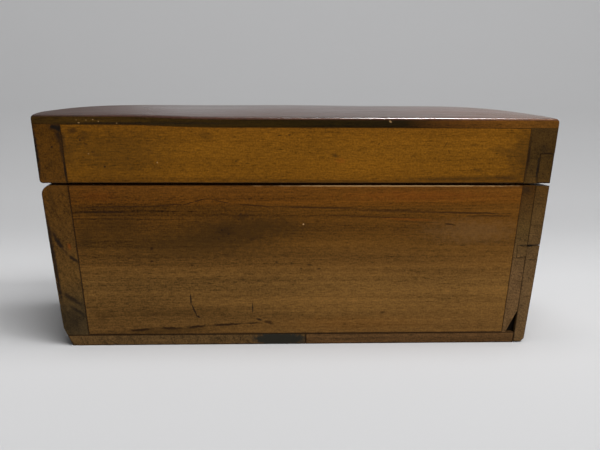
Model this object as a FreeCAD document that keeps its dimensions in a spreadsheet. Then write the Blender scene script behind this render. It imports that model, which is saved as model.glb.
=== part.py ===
import FreeCAD, Part
import math
import os
import re
import Sketcher

# A small wooden puzzle box with flared ends and a cushioned lid.
# Two panels slide back along the right end: the upper one hides a keyhole, the lower one hides the key.
# Millimetres. Origin in the middle of the underside, +X to the right end, +Y to the back, +Z up.

SIZES = {
    # Carcase
    "depth": 120.0,
    "inside_length": 149.6,
    "end_lean": 7.56,
    "end_thickness_base": 8.4,
    "end_thickness_top": 9.8,
    "end_bulge": 0.3,
    "wall_thickness": 6.0,
    "base_thickness": 3.8,
    "base_split": 2.9,
    "rim_height": 57.8,
    "worn_corner": 3.2,
    "foot_ease_width": 2.3,
    "foot_ease_height": 6.5,
    # Lid
    "lid_gap": 0.7,
    "lid_rail_height": 20.2,
    "lid_worn_corner": 1.3,
    "top_edge": 3.4,
    "crown_middle": 4.35,
    "crown_shoulder": 4.15,
    "crown_haunch": 2.6,
    "crown_end": 0.7,
    "shoulder_inset": 42.0,
    "haunch_inset": 10.0,
    "slip_height": 10.9,
    # Right end: fixed inner board, two sliding panels and their dovetail runners
    "inner_end_thickness": 4.5,
    "panel_split": 35.7,
    "panel_gap": 0.2,
    "panel_lift": 0.4,
    "panel_toe": 1.1,
    "slide_clearance": 0.15,
    "runner_height": 4.6,
    "runner_flare": 0.7,
    "lower_runner_depth": 3.2,
    "upper_runner_depth": 1.1,
    "upper_runner_rise": 1.9,
    "upper_runner_stop": 10.0,
    "chip_height": 8.0,
    "chip_width": 3.4,
    "chip_depth": 4.0,
    # Lock in the right end's rim, and the plate in the lid that it holds
    "lock_setback": 35.0,
    "lock_length": 30.0,
    "lock_height": 13.0,
    "lock_depth": 3.2,
    "lock_plate": 0.8,
    "cap_plate": 0.6,
    "lock_play": 0.1,
    "selvedge_reach": 5.0,
    "keyhole_drop": 7.6,
    "keyhole_radius": 1.4,
    "keyhole_slot_width": 1.4,
    "keyhole_slot_length": 3.2,
    "bolt_length": 24.0,
    "bolt_bar_height": 3.4,
    "bolt_travel": 4.0,
    "staple_spacing": 11.0,
    "staple_length": 4.2,
    "staple_width": 1.6,
    "toe_length": 2.0,
    "toe_height": 1.2,
    "hook_gap": 0.5,
    "hook_clearance": 0.3,
    "link_length": 29.0,
    "link_width": 3.2,
    "link_inset": 0.3,
    # Key in its recess under the lower panel
    "key_setback": 10.0,
    "key_length": 28.0,
    "key_shank_radius": 1.1,
    "key_bow_radius": 4.6,
    "key_bow_band": 1.8,
    "key_bow_thickness": 1.8,
    "key_bit_length": 4.0,
    "key_nose": 1.0,
    "key_bit_drop": 3.2,
    "key_bit_thickness": 1.4,
    "key_room": 0.5,
    "key_seat": 0.1,
    "key_recess_depth": 3.0,
    # Butt hinges
    "hinge_inset": 20.0,
    "hinge_length": 24.0,
    "leaf_width": 5.4,
    "leaf_thickness": 0.9,
    "knuckle_radius": 2.0,
    "knuckle_gap": 0.2,
    "pin_radius": 1.0,
    "pin_clearance": 0.05,
    # Screws
    "screw_spacing": 8.0,
    "screw_head_radius": 1.5,
    "screw_shank_radius": 0.8,
    "screw_length": 6.0,
    "screw_clearance": 0.05,
}

# Lengths that follow from the sizes
DERIVED = {
    "front": "-depth / 2",
    "back": "depth / 2",
    "lid_bottom": "rim_height + lid_gap",
    "lid_top": "lid_bottom + lid_rail_height",
    "edge_top": "lid_top + top_edge",
    "end_slope": "tan(end_lean * 1 deg)",
    "outer_base": "inside_length / 2 + end_thickness_base",
    "outer_top": "inside_length / 2 + edge_top * end_slope + end_thickness_top",
    "end_chord": "sqrt((outer_top - outer_base) ^ 2 + edge_top ^ 2)",
    "end_radius": "end_chord ^ 2 / (8 * end_bulge) + end_bulge / 2",
    "end_centre_x": "(outer_base + outer_top) / 2 - edge_top / end_chord * (end_radius - end_bulge)",
    "end_centre_z": "edge_top / 2 + (outer_top - outer_base) / end_chord * (end_radius - end_bulge)",
    "panel_inset": "inner_end_thickness + slide_clearance",
    "upper_panel_base": "panel_split + panel_gap",
    "upper_panel_top": "rim_height - panel_gap",
    "slip_top": "lid_bottom + slip_height",
    "lock_centre": "front + lock_setback",
    "lock_front": "lock_centre - lock_length / 2",
    "lock_back": "lock_centre + lock_length / 2",
    "selvedge_front": "lock_front - selvedge_reach",
    "selvedge_back": "lock_back + selvedge_reach",
    "lock_floor": "rim_height - lock_height",
    "bolt_inset": "cap_plate + lock_play",
    "bolt_outset": "lock_depth - lock_plate - lock_play",
    "bolt_floor": "lock_floor + lock_plate + lock_play",
    "bolt_top": "bolt_floor + bolt_bar_height",
    "staple_swing": "(staple_length + lid_gap) * end_slope",
    "staple_inset": "bolt_inset + staple_swing",
    "staple_foot": "rim_height - staple_length",
    "nose_floor": "staple_foot + toe_height + hook_gap",
    "nose_top": "rim_height - lock_plate - lock_play",
    "key_recess_front": "front + key_setback",
    "key_recess_back": "key_recess_front + key_length + 2 * key_room",
    "key_recess_floor": "base_thickness + chip_height",
    "key_reach": "max(key_bow_radius; key_bit_drop + key_shank_radius)",
    "key_recess_top": "key_recess_floor + key_reach + key_bow_radius + 2 * key_room",
    "key_recess_inset": "inner_end_thickness - key_recess_depth",
    "hinge_y": "back + knuckle_radius + knuckle_gap",
    "hinge_z": "rim_height + lid_gap / 2",
    "hinge_x": "inside_length / 2 - hinge_inset",
    "knuckle_length": "hinge_length / 3",
    "leaf_front": "back - leaf_width",
    "screw_y": "back - leaf_width / 2",
}

OVERCUT = "1"
LEFT = -1
RIGHT = 1
NAME = re.compile(r"[a-z][a-z_0-9]*")

doc = FreeCAD.newDocument("PuzzleBox")
sheet = doc.addObject("Spreadsheet::Sheet", "Sizes")


def fill_sheet():
    """Write each size and each derived length to its own aliased cell."""
    cells = {alias: str(value) for alias, value in SIZES.items()}
    cells.update({alias: f"={formula}" for alias, formula in DERIVED.items()})
    for row, (alias, text) in enumerate(cells.items(), start=1):
        sheet.set(f"A{row}", alias)
        sheet.set(f"B{row}", text)
        sheet.setAlias(f"B{row}", alias)
        doc.recompute()


def bound(text):
    """The expression with every size's name pointing at the sheet."""
    known = {**SIZES, **DERIVED}
    return NAME.sub(lambda name: f"Sizes.{name[0]}" if name[0] in known else name[0], text)


def number(text):
    """The value of an expression of the sizes."""
    return float(sheet.evalExpression(bound(text)))


def lean_x(inset, z):
    """X at a height, measured from the leaning joint between an end and the boards it closes."""
    return f"(inside_length / 2 + ({z}) * end_slope + ({inset}))"


def outer_x(z):
    """X of the bulged outer face of an end at a height."""
    return f"(end_centre_x + sqrt(end_radius ^ 2 - (({z}) - end_centre_z) ^ 2))"


def foot_x(z):
    """X of the worn foot of the left end, a straight ease below the bulged face."""
    reach = f"({outer_x('foot_ease_height')} - outer_base + foot_ease_width)"
    return f"(outer_base - foot_ease_width + ({z}) / foot_ease_height * {reach})"


def new_body(label):
    """A named piece of the box."""
    body = doc.addObject("PartDesign::Body", label)
    body.Label = label
    return body


def new_sketch(body, role, offset):
    """A sketch on one of the body's own planes, moved along the plane's normal."""
    sketch = body.newObject("Sketcher::SketchObject", f"{body.Label}_sketch")
    plane = next(feature for feature in body.Origin.OriginFeatures if feature.Role == role)
    sketch.AttachmentSupport = [(plane, "")]
    sketch.MapMode = "FlatFace"
    sketch.setExpression("AttachmentOffset.Base.z", bound(offset))
    return sketch


def pin(sketch, constraint, text):
    """Add a dimension to a sketch and tie it to an expression."""
    index = sketch.addConstraint(constraint)
    sketch.setExpression(f"Constraints[{index}]", bound(text))


def pin_point(sketch, geometry, point, x, y):
    """Tie a point of a sketch to its two coordinates."""
    for kind, text in (("DistanceX", x), ("DistanceY", y)):
        pin(sketch, Sketcher.Constraint(kind, -1, 1, geometry, point, number(text)), text)


def add_arc(sketch, start, end, radius):
    """Draw a shallow arc that runs counter-clockwise from start to end."""
    chord = end - start
    inward = FreeCAD.Vector(-chord.y, chord.x, 0).normalize()
    centre = (start + end) / 2 + inward * (radius ** 2 - (chord.Length / 2) ** 2) ** 0.5
    angles = [math.atan2(point.y - centre.y, point.x - centre.x) for point in (start, end)]
    circle = Part.Circle(centre, FreeCAD.Vector(0, 0, 1), radius)
    sketch.addGeometry(Part.ArcOfCircle(circle, angles[0], angles[1]))


def outline(sketch, corners, arcs=None):
    """Draw a closed counter-clockwise outline; arcs gives the radius of the edges that are round."""
    arcs = arcs or {}
    first = sketch.GeometryCount
    count = len(corners)
    places = [FreeCAD.Vector(number(x), number(y), 0) for x, y in corners]
    for index, start in enumerate(places):
        end = places[(index + 1) % count]
        if index in arcs:
            add_arc(sketch, start, end, number(arcs[index]))
        else:
            sketch.addGeometry(Part.LineSegment(start, end))
    for index, (x, y) in enumerate(corners):
        follower = first + (index + 1) % count
        sketch.addConstraint(Sketcher.Constraint("Coincident", first + index, 2, follower, 1))
        pin_point(sketch, first + index, 1, x, y)
    for index, radius in arcs.items():
        pin(sketch, Sketcher.Constraint("Radius", first + index, number(radius)), radius)


def ring(sketch, x, y, radius):
    """Draw a circle in a sketch."""
    centre = FreeCAD.Vector(number(x), number(y), 0)
    index = sketch.addGeometry(Part.Circle(centre, FreeCAD.Vector(0, 0, 1), number(radius)))
    pin_point(sketch, index, 3, x, y)
    pin(sketch, Sketcher.Constraint("Radius", index, number(radius)), radius)


def raise_pad(body, sketch, length, midplane=False):
    """Add material along a sketch's normal."""
    pad = body.newObject("PartDesign::Pad", f"{body.Label}_pad")
    pad.Profile = sketch
    pad.Midplane = midplane
    pad.setExpression("Length", bound(length))
    doc.recompute()


def cut_pocket(body, sketch, length, midplane=False):
    """Remove material against a sketch's normal, and make sure that some was removed."""
    before = body.Shape.Volume
    pocket = body.newObject("PartDesign::Pocket", f"{body.Label}_pocket")
    pocket.Profile = sketch
    pocket.Midplane = midplane
    pocket.setExpression("Length", bound(length))
    doc.recompute()
    if body.Shape.Volume >= before:
        raise RuntimeError(f"A pocket of {body.Label} removes nothing")


def add_along(body, corners, start, end, arcs=None):
    """Add a prism with a front-view outline between two depths."""
    sketch = new_sketch(body, "XZ_Plane", f"-({end})")
    outline(sketch, corners, arcs)
    raise_pad(body, sketch, f"({end}) - ({start})")


def cut_along(body, corners, start, end):
    """Cut a prism with a front-view outline between two depths."""
    sketch = new_sketch(body, "XZ_Plane", f"-({start})")
    outline(sketch, corners)
    cut_pocket(body, sketch, f"({end}) - ({start})")


def rectangle(left, right, low, high):
    """Corners of an upright rectangle, counter-clockwise."""
    return [(left, low), (right, low), (right, high), (left, high)]


def leaning(inset, outset, low, high):
    """Corners of a block that leans with the right end, counter-clockwise."""
    return [
        (lean_x(inset, low), low),
        (lean_x(outset, low), low),
        (lean_x(outset, high), high),
        (lean_x(inset, high), high),
    ]


def spanning(low, high):
    """Corners of a board that fills the width between the two leaning ends."""
    return [
        (f"-{lean_x('0', low)}", low),
        (lean_x("0", low), low),
        (lean_x("0", high), high),
        (f"-{lean_x('0', high)}", high),
    ]


def end_corners(side, inset, low, high):
    """Corners of an end piece; the edge from its second corner to its third is the bulged face."""
    corners = [
        (lean_x(inset, low), low),
        (outer_x(low), low),
        (outer_x(high), high),
        (lean_x(inset, high), high),
    ]
    if side == RIGHT:
        return corners
    return [(f"-{x}", z) for x, z in reversed(corners)]


def round_edge(body, radius, x, z):
    """Round the long edge of a piece that runs front to back through a point of its front view."""
    tip = body.Tip
    target = (number(x), number(z))
    names = []
    for index, edge in enumerate(tip.Shape.Edges, start=1):
        ends = [vertex.Point for vertex in edge.Vertexes]
        if all(abs(end.x - target[0]) + abs(end.z - target[1]) < 1e-4 for end in ends):
            names.append(f"Edge{index}")
    fillet = body.newObject("PartDesign::Fillet", f"{body.Label}_round")
    fillet.Base = (tip, names)
    fillet.setExpression("Radius", bound(radius))
    doc.recompute()


def pilot_holes(body, centres, start, length, upward=False):
    """Cut round screw holes down or up into a board from a height."""
    sketch = new_sketch(body, "XY_Plane", start)
    for x, y in centres:
        ring(sketch, x, y, "screw_shank_radius + screw_clearance")
    before = body.Shape.Volume
    pocket = body.newObject("PartDesign::Pocket", f"{body.Label}_pilots")
    pocket.Profile = sketch
    pocket.Reversed = upward
    pocket.setExpression("Length", bound(length))
    doc.recompute()
    if body.Shape.Volume >= before:
        raise RuntimeError(f"The pilot holes of {body.Label} remove nothing")


def countersinks(body, centres, low, thickness, wide_side):
    """Cut a conical screw hole through a plate at each centre, wide at the top (1) or the bottom (-1)."""
    narrow = "screw_shank_radius + screw_clearance"
    wide = "screw_head_radius + screw_clearance"
    for x, y in centres:
        cone = body.newObject("PartDesign::SubtractiveCone", f"{body.Label}_sink")
        cone.setExpression("Radius1", bound(narrow if wide_side > 0 else wide))
        cone.setExpression("Radius2", bound(wide if wide_side > 0 else narrow))
        cone.setExpression("Height", bound(thickness))
        for axis, text in zip("xyz", (x, y, low)):
            cone.setExpression(f"Placement.Base.{axis}", bound(text))
        doc.recompute()


def screw_group(label, centres, face, head_height, wide_side):
    """Countersunk screws whose heads lie flush in a plate; wide_side is 1 for heads on top, -1 for below."""
    screws = []
    if wide_side > 0:
        head_low = f"({face}) - ({head_height})"
        shank_low = f"({head_low}) - screw_length"
    else:
        head_low = face
        shank_low = f"({face}) + ({head_height})"
    for index, (x, y) in enumerate(centres, start=1):
        head = doc.addObject("Part::Cone", f"{label}_head_{index}")
        narrow, wide = "screw_shank_radius", "screw_head_radius"
        head.setExpression("Radius1", bound(narrow if wide_side > 0 else wide))
        head.setExpression("Radius2", bound(wide if wide_side > 0 else narrow))
        head.setExpression("Height", bound(head_height))
        shank = doc.addObject("Part::Cylinder", f"{label}_shank_{index}")
        shank.setExpression("Radius", bound(narrow))
        shank.setExpression("Height", bound("screw_length"))
        for piece, low in ((head, head_low), (shank, shank_low)):
            for axis, text in zip("xyz", (x, y, low)):
                piece.setExpression(f"Placement.Base.{axis}", bound(text))
        screw = doc.addObject("Part::Fuse", f"{label}_{index}")
        screw.Base = head
        screw.Tool = shank
        screws.append(screw)
    group = doc.addObject("Part::Compound", label)
    group.Label = label
    group.Links = screws
    doc.recompute()
    return group


def hinge_screw_centres():
    """Places of the screws in both hinges, three to a leaf."""
    offsets = ("-screw_spacing", "0", "screw_spacing")
    return [(f"{side} * hinge_x + {offset}", "screw_y") for side in (LEFT, RIGHT) for offset in offsets]


def lock_screw_centres():
    """Places of the two screws in the lock's selvedge."""
    middle = lean_x("lock_depth / 2", "rim_height")
    setback = "selvedge_reach / 2"
    return [(middle, f"selvedge_front + {setback}"), (middle, f"selvedge_back - {setback}")]


def link_screw_centres():
    """Places of the two screws in the lid's link plate."""
    middle = lean_x("link_inset + link_width / 2", "lid_bottom")
    setback = "link_length / 2 - 2 * screw_head_radius"
    return [(middle, f"lock_centre - ({setback})"), (middle, f"lock_centre + ({setback})")]


def staple_fronts():
    """Depth of the leading face of each of the two staples."""
    return [f"(lock_centre + {side} * staple_spacing / 2)" for side in (LEFT, RIGHT)]


def runner_corners(depth_in, low, play):
    """Front view of a dovetail runner, or with play of the groove that it slides in."""
    tip = f"inner_end_thickness - ({depth_in}) - ({play})"
    high = f"({low}) + runner_height"
    section = [
        (tip, f"({low}) - ({play})"),
        ("panel_inset", f"({low}) + runner_flare - ({play})"),
        ("panel_inset", f"({high}) - runner_flare + ({play})"),
        (tip, f"({high}) + ({play})"),
    ]
    return [(lean_x(inset, z), z) for inset, z in section]


LOWER_RUNNER_LOW = "panel_split - runner_height"
UPPER_RUNNER_LOW = "upper_panel_base + upper_runner_rise"
UPPER_RUNNER_FRONT = "front + upper_runner_stop"


def build_carcase():
    """Front, back, ends and the two base boards."""
    front = new_body("front_board")
    add_along(front, spanning("base_thickness", "rim_height"), "front", "front + wall_thickness")

    back = new_body("back_board")
    add_along(back, spanning("base_thickness", "rim_height"), "back - wall_thickness", "back")
    for side in (LEFT, RIGHT):
        middle = f"{side} * hinge_x"
        gain = rectangle(
            f"{middle} - hinge_length / 2",
            f"{middle} + hinge_length / 2",
            "rim_height - leaf_thickness",
            f"rim_height + {OVERCUT}",
        )
        cut_along(back, gain, "leaf_front", f"back + {OVERCUT}")
    pilot_holes(back, hinge_screw_centres(), "rim_height", "leaf_thickness + screw_length")

    left = new_body("left_end_board")
    corners = [
        (f"-{lean_x('0', 'rim_height')}", "rim_height"),
        (f"-{outer_x('rim_height')}", "rim_height"),
        (f"-{outer_x('foot_ease_height')}", "foot_ease_height"),
        (f"-{foot_x('base_thickness')}", "base_thickness"),
        (f"-{lean_x('0', 'base_thickness')}", "base_thickness"),
    ]
    add_along(left, corners, "front", "back", {1: "end_radius"})
    round_edge(left, "worn_corner", f"-{outer_x('rim_height')}", "rim_height")

    base_left = new_body("base_board_left")
    corners = [
        (f"-{foot_x('0')}", "0"),
        ("base_split", "0"),
        ("base_split", "base_thickness"),
        (f"-{foot_x('base_thickness')}", "base_thickness"),
    ]
    add_along(base_left, corners, "front", "back")

    base_right = new_body("base_board_right")
    corners = [
        ("base_split", "0"),
        (lean_x("inner_end_thickness", "0"), "0"),
        (lean_x("inner_end_thickness", "base_thickness"), "base_thickness"),
        ("base_split", "base_thickness"),
    ]
    add_along(base_right, corners, "front", "back")
    return [front, back, left, base_left, base_right]


def build_right_end():
    """Fixed inner board of the right end, with its lock mortise, key recess and runner grooves."""
    board = new_body("right_end_board")
    add_along(board, leaning("0", "inner_end_thickness", "base_thickness", "rim_height"), "front", "back")

    mortise = leaning(f"-{OVERCUT}", "lock_depth", "lock_floor", f"rim_height + {OVERCUT}")
    cut_along(board, mortise, "lock_front", "lock_back")
    rebate = leaning(f"-{OVERCUT}", "lock_depth", "rim_height - lock_plate", f"rim_height + {OVERCUT}")
    cut_along(board, rebate, "selvedge_front", "selvedge_back")
    pilot_holes(board, lock_screw_centres(), "rim_height", "lock_plate + screw_length")
    cut_keyhole(board)

    play = "slide_clearance"
    cut_along(board, runner_corners("lower_runner_depth", LOWER_RUNNER_LOW, play), "front", "back")
    upper_groove = runner_corners("upper_runner_depth", UPPER_RUNNER_LOW, play)
    cut_along(board, upper_groove, f"{UPPER_RUNNER_FRONT} - slide_clearance", "back")

    recess = leaning(
        "key_recess_inset",
        f"inner_end_thickness + {OVERCUT}",
        "key_recess_floor",
        "key_recess_top",
    )
    cut_along(board, recess, "key_recess_front", "key_recess_back")

    chip = [
        (lean_x("inner_end_thickness - chip_width", "base_thickness"), "base_thickness"),
        (lean_x("inner_end_thickness", "base_thickness"), "base_thickness"),
        (lean_x("inner_end_thickness", "base_thickness + chip_height"), "base_thickness + chip_height"),
    ]
    cut_along(board, chip, "front", "front + chip_depth")
    return [board]


def cut_keyhole(body):
    """Cut a round keyhole with a slot below it through a piece of the right end."""
    height = "(rim_height - keyhole_drop)"
    bore = new_sketch(body, "YZ_Plane", "outer_top")
    ring(bore, "lock_centre", height, "keyhole_radius")
    reach = f"outer_top - {lean_x('cap_plate + lock_play', 'lock_floor')}"
    cut_pocket(body, bore, reach)
    slot = new_sketch(body, "YZ_Plane", "outer_top")
    half_width = "keyhole_slot_width / 2"
    corners = rectangle(
        f"lock_centre - {half_width}",
        f"lock_centre + {half_width}",
        f"{height} - keyhole_slot_length",
        height,
    )
    outline(slot, corners)
    cut_pocket(body, slot, reach)


def build_end_panels():
    """The two sliding panels of the right end and the dovetail runners glued to their backs."""
    lower = new_body("lower_end_panel")
    corners = [
        (lean_x("panel_inset", "panel_lift"), "panel_lift"),
        (f"{outer_x('panel_lift')} - panel_toe", "panel_lift"),
        (outer_x("panel_lift + panel_toe"), "panel_lift + panel_toe"),
        (outer_x("panel_split"), "panel_split"),
        (lean_x("panel_inset", "panel_split"), "panel_split"),
    ]
    add_along(lower, corners, "front", "back", {2: "end_radius"})
    lower_runner = new_body("lower_panel_runner")
    section = runner_corners("lower_runner_depth", LOWER_RUNNER_LOW, "0")
    add_along(lower_runner, section, "front", "back")

    upper = new_body("upper_end_panel")
    corners = end_corners(RIGHT, "panel_inset", "upper_panel_base", "upper_panel_top")
    add_along(upper, corners, "front", "back", {1: "end_radius"})
    upper_runner = new_body("upper_panel_runner")
    section = runner_corners("upper_runner_depth", UPPER_RUNNER_LOW, "0")
    add_along(upper_runner, section, UPPER_RUNNER_FRONT, "back")
    return [lower, lower_runner, upper, upper_runner]


def build_lid():
    """Rails, ends, facing slip and cushioned top board of the lid."""
    front = new_body("lid_front_rail")
    add_along(front, spanning("lid_bottom", "lid_top"), "front", "front + wall_thickness")

    back = new_body("lid_back_rail")
    add_along(back, spanning("lid_bottom", "lid_top"), "back - wall_thickness", "back")
    for side in (LEFT, RIGHT):
        middle = f"{side} * hinge_x"
        gain = rectangle(
            f"{middle} - hinge_length / 2",
            f"{middle} + hinge_length / 2",
            f"lid_bottom - {OVERCUT}",
            "lid_bottom + leaf_thickness",
        )
        cut_along(back, gain, "leaf_front", f"back + {OVERCUT}")
    pilot_holes(back, hinge_screw_centres(), "lid_bottom", "leaf_thickness + screw_length", upward=True)

    left = new_body("lid_left_end")
    add_along(left, end_corners(LEFT, "0", "lid_bottom", "lid_top"), "front", "back", {1: "end_radius"})
    round_edge(left, "lid_worn_corner", f"-{outer_x('lid_bottom')}", "lid_bottom")

    right = new_body("lid_right_end")
    add_along(right, end_corners(RIGHT, "0", "lid_bottom", "lid_top"), "front", "back", {1: "end_radius"})
    rebate = leaning(
        "inner_end_thickness",
        f"end_thickness_top + {OVERCUT}",
        f"lid_bottom - {OVERCUT}",
        "slip_top",
    )
    cut_along(right, rebate, f"front - {OVERCUT}", f"back + {OVERCUT}")
    link_gain = leaning(
        "link_inset",
        "link_inset + link_width",
        f"lid_bottom - {OVERCUT}",
        "lid_bottom + lock_plate",
    )
    cut_along(right, link_gain, "lock_centre - link_length / 2", "lock_centre + link_length / 2")
    pilot_holes(right, link_screw_centres(), "lid_bottom", "lock_plate + screw_length", upward=True)

    slip = new_body("lid_end_slip")
    corners = end_corners(RIGHT, "inner_end_thickness", "lid_bottom", "slip_top")
    add_along(slip, corners, "front", "back", {1: "end_radius"})
    return [front, back, left, right, slip, build_top_board()]


def build_top_board():
    """Cushioned top: flat underneath, arched front to back, lower towards both ends."""
    top = new_body("lid_top_board")
    right_half = [
        ("(outer_top - shoulder_inset)", "crown_shoulder"),
        ("(outer_top - haunch_inset)", "crown_haunch"),
        (f"(outer_top + {OVERCUT})", "crown_end"),
    ]
    left_half = [(f"-{station}", crown) for station, crown in reversed(right_half)]
    stations = left_half + [("0", "crown_middle")] + right_half
    sections = []
    for station, crown in stations:
        sketch = new_sketch(top, "YZ_Plane", station)
        corners = [("front", "lid_top"), ("back", "lid_top"), ("back", "edge_top"), ("front", "edge_top")]
        outline(sketch, corners, {2: f"back ^ 2 / (2 * {crown}) + {crown} / 2"})
        sections.append(sketch)
    doc.recompute()
    loft = top.newObject("PartDesign::AdditiveLoft", "lid_top_board_loft")
    loft.Profile = sections[0]
    loft.Sections = sections[1:]
    doc.recompute()

    low = f"lid_top - {OVERCUT}"
    high = f"edge_top + crown_middle + {OVERCUT}"
    far = f"(outer_top + 3 * {OVERCUT})"
    corners = [(outer_x(low), low), (far, low), (far, high), (outer_x(high), high)]
    mirrored = [(f"-{x}", z) for x, z in reversed(corners)]
    for trim in (corners, mirrored):
        cut_along(top, trim, f"front - {OVERCUT}", f"back + {OVERCUT}")
    return top


def build_leaf(label, side, low, own_thirds, wide_side):
    """One leaf of a butt hinge, with its share of the three knuckles."""
    leaf = new_body(label)
    middle = f"{side} * hinge_x"
    start = f"{middle} - hinge_length / 2"
    high = f"{low} + leaf_thickness"
    add_along(leaf, rectangle(start, f"{middle} + hinge_length / 2", low, high), "leaf_front", "back")
    for third in own_thirds:
        first = f"{start} + {third} * knuckle_length + knuckle_gap / 2"
        last = f"{first} + knuckle_length - knuckle_gap"
        add_along(leaf, rectangle(first, last, low, high), "back - knuckle_gap", "hinge_y")
        barrel = new_sketch(leaf, "YZ_Plane", first)
        ring(barrel, "hinge_y", "hinge_z", "knuckle_radius")
        raise_pad(leaf, barrel, "knuckle_length - knuckle_gap")
    bore = new_sketch(leaf, "YZ_Plane", middle)
    ring(bore, "hinge_y", "hinge_z", "pin_radius + pin_clearance")
    cut_pocket(leaf, bore, f"hinge_length + 2 * {OVERCUT}", midplane=True)
    centres = [centre for centre in hinge_screw_centres() if centre[0].startswith(f"{side} ")]
    countersinks(leaf, centres, low, "leaf_thickness", wide_side)
    return leaf


def build_hinges():
    """Two butt hinges: a lower and an upper leaf, a pin each, and their screws."""
    pieces = []
    for side, word in ((LEFT, "left"), (RIGHT, "right")):
        lower_low = "(rim_height - leaf_thickness)"
        pieces.append(build_leaf(f"hinge_leaf_lower_{word}", side, lower_low, (0, 2), 1))
        pieces.append(build_leaf(f"hinge_leaf_upper_{word}", side, "lid_bottom", (1,), -1))
        rod = new_body(f"hinge_pin_{word}")
        section = new_sketch(rod, "YZ_Plane", f"{side} * hinge_x")
        ring(section, "hinge_y", "hinge_z", "pin_radius")
        raise_pad(rod, section, "hinge_length", midplane=True)
        pieces.append(rod)
    centres = hinge_screw_centres()
    pieces.append(screw_group("hinge_screws_lower", centres, "rim_height", "leaf_thickness", 1))
    pieces.append(screw_group("hinge_screws_upper", centres, "lid_bottom", "leaf_thickness", -1))
    return pieces


def build_lock():
    """Lock case, cap plate and bolt in the right end, and the link plate that the bolt hooks in the lid."""
    case = new_body("lock_case")
    section = [
        ("0", "lock_floor"),
        ("lock_depth", "lock_floor"),
        ("lock_depth", "rim_height"),
        ("0", "rim_height"),
        ("0", "rim_height - lock_plate"),
        ("lock_depth - lock_plate", "rim_height - lock_plate"),
        ("lock_depth - lock_plate", "lock_floor + lock_plate"),
        ("0", "lock_floor + lock_plate"),
    ]
    add_along(case, [(lean_x(inset, z), z) for inset, z in section], "lock_front", "lock_back")
    selvedge = leaning("0", "lock_depth", "rim_height - lock_plate", "rim_height")
    add_along(case, selvedge, "selvedge_front", "selvedge_back")
    for front in staple_fronts():
        slot = leaning(
            "staple_inset - staple_swing - lock_play",
            "bolt_outset",
            f"rim_height - lock_plate - {OVERCUT} / 2",
            f"rim_height + {OVERCUT}",
        )
        cut_along(
            case,
            slot,
            f"{front} - toe_length - 2 * hook_clearance",
            f"{front} + staple_width + 2 * hook_clearance",
        )
    cut_keyhole(case)
    countersinks(case, lock_screw_centres(), "rim_height - lock_plate", "lock_plate", 1)

    cap = new_body("lock_cap_plate")
    face = leaning("0", "cap_plate", "lock_floor + lock_plate", "rim_height - lock_plate")
    add_along(cap, face, "lock_front", "lock_back")

    bolt = new_body("lock_bolt")
    bar_front = "lock_front + lock_play"
    bar = leaning("bolt_inset", "bolt_outset", "bolt_floor", "bolt_top")
    add_along(bolt, bar, bar_front, f"{bar_front} + bolt_length")
    for front in staple_fronts():
        nose_back = f"{front} - hook_clearance - bolt_travel"
        post_back = f"{front} - toe_length - hook_clearance - bolt_travel"
        post = leaning("bolt_inset", "bolt_outset", "bolt_floor", "nose_top")
        add_along(bolt, post, f"{post_back} - staple_width", post_back)
        nose = leaning("bolt_inset", "bolt_outset", "nose_floor", "nose_top")
        add_along(bolt, nose, f"{post_back} - staple_width / 2", nose_back)

    link = new_body("link_plate")
    plate = leaning("link_inset", "link_inset + link_width", "lid_bottom", "lid_bottom + lock_plate")
    add_along(link, plate, "lock_centre - link_length / 2", "lock_centre + link_length / 2")
    for front in staple_fronts():
        leg = leaning("staple_inset", "bolt_outset - lock_play", "staple_foot", "lid_bottom + lock_plate / 2")
        add_along(link, leg, front, f"{front} + staple_width")
        toe = leaning("staple_inset", "bolt_outset - lock_play", "staple_foot", "staple_foot + toe_height")
        add_along(link, toe, f"{front} - toe_length", f"{front} + staple_width / 2")
    countersinks(link, link_screw_centres(), "lid_bottom", "lock_plate", -1)

    lock_screws = screw_group("lock_screws", lock_screw_centres(), "rim_height", "lock_plate", 1)
    link_screws = screw_group("link_screws", link_screw_centres(), "lid_bottom", "lock_plate", -1)
    return [case, cap, bolt, link, lock_screws, link_screws]


def build_key():
    """Small key lying in the recess under the lower panel, its bow towards the front."""
    key = new_body("key")
    bow = new_sketch(key, "YZ_Plane", "0")
    ring(bow, "key_bow_radius", "0", "key_bow_radius")
    ring(bow, "key_bow_radius", "0", "key_bow_radius - key_bow_band")
    raise_pad(key, bow, "key_bow_thickness", midplane=True)
    shank_start = "(2 * key_bow_radius - key_bow_band / 2)"
    shank = new_sketch(key, "XZ_Plane", "-key_length")
    ring(shank, "0", "0", "key_shank_radius")
    raise_pad(key, shank, f"key_length - {shank_start}")
    bit = new_sketch(key, "YZ_Plane", "0")
    bit_start = "key_length - key_nose - key_bit_length"
    corners = rectangle(bit_start, f"{bit_start} + key_bit_length", "-key_bit_drop - key_shank_radius", "0")
    outline(bit, corners)
    raise_pad(key, bit, "key_bit_thickness", midplane=True)

    height = "(key_recess_floor + key_room + key_reach)"
    seat = "(key_shank_radius + key_seat) / cos(end_lean * 1 deg)"
    key.Placement.Rotation = FreeCAD.Rotation(FreeCAD.Vector(0, 1, 0), number("end_lean"))
    key.setExpression("Placement.Rotation.Angle", bound("end_lean * 1 deg"))
    key.setExpression("Placement.Base.x", bound(lean_x(f"key_recess_inset + {seat}", height)))
    key.setExpression("Placement.Base.y", bound("key_recess_front + key_room"))
    key.setExpression("Placement.Base.z", bound(height))
    doc.recompute()
    return [key]


def check_document(pieces):
    """Stop if any object failed or any piece has no valid solid."""
    for item in doc.Objects:
        if {"Invalid", "Error"} & set(item.State):
            raise RuntimeError(f"{item.Label} failed: {item.State}")
    for piece in pieces:
        if piece.Shape.isNull() or not piece.Shape.isValid() or not piece.Shape.Solids:
            raise RuntimeError(f"{piece.Label} has no valid solid")


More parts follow.
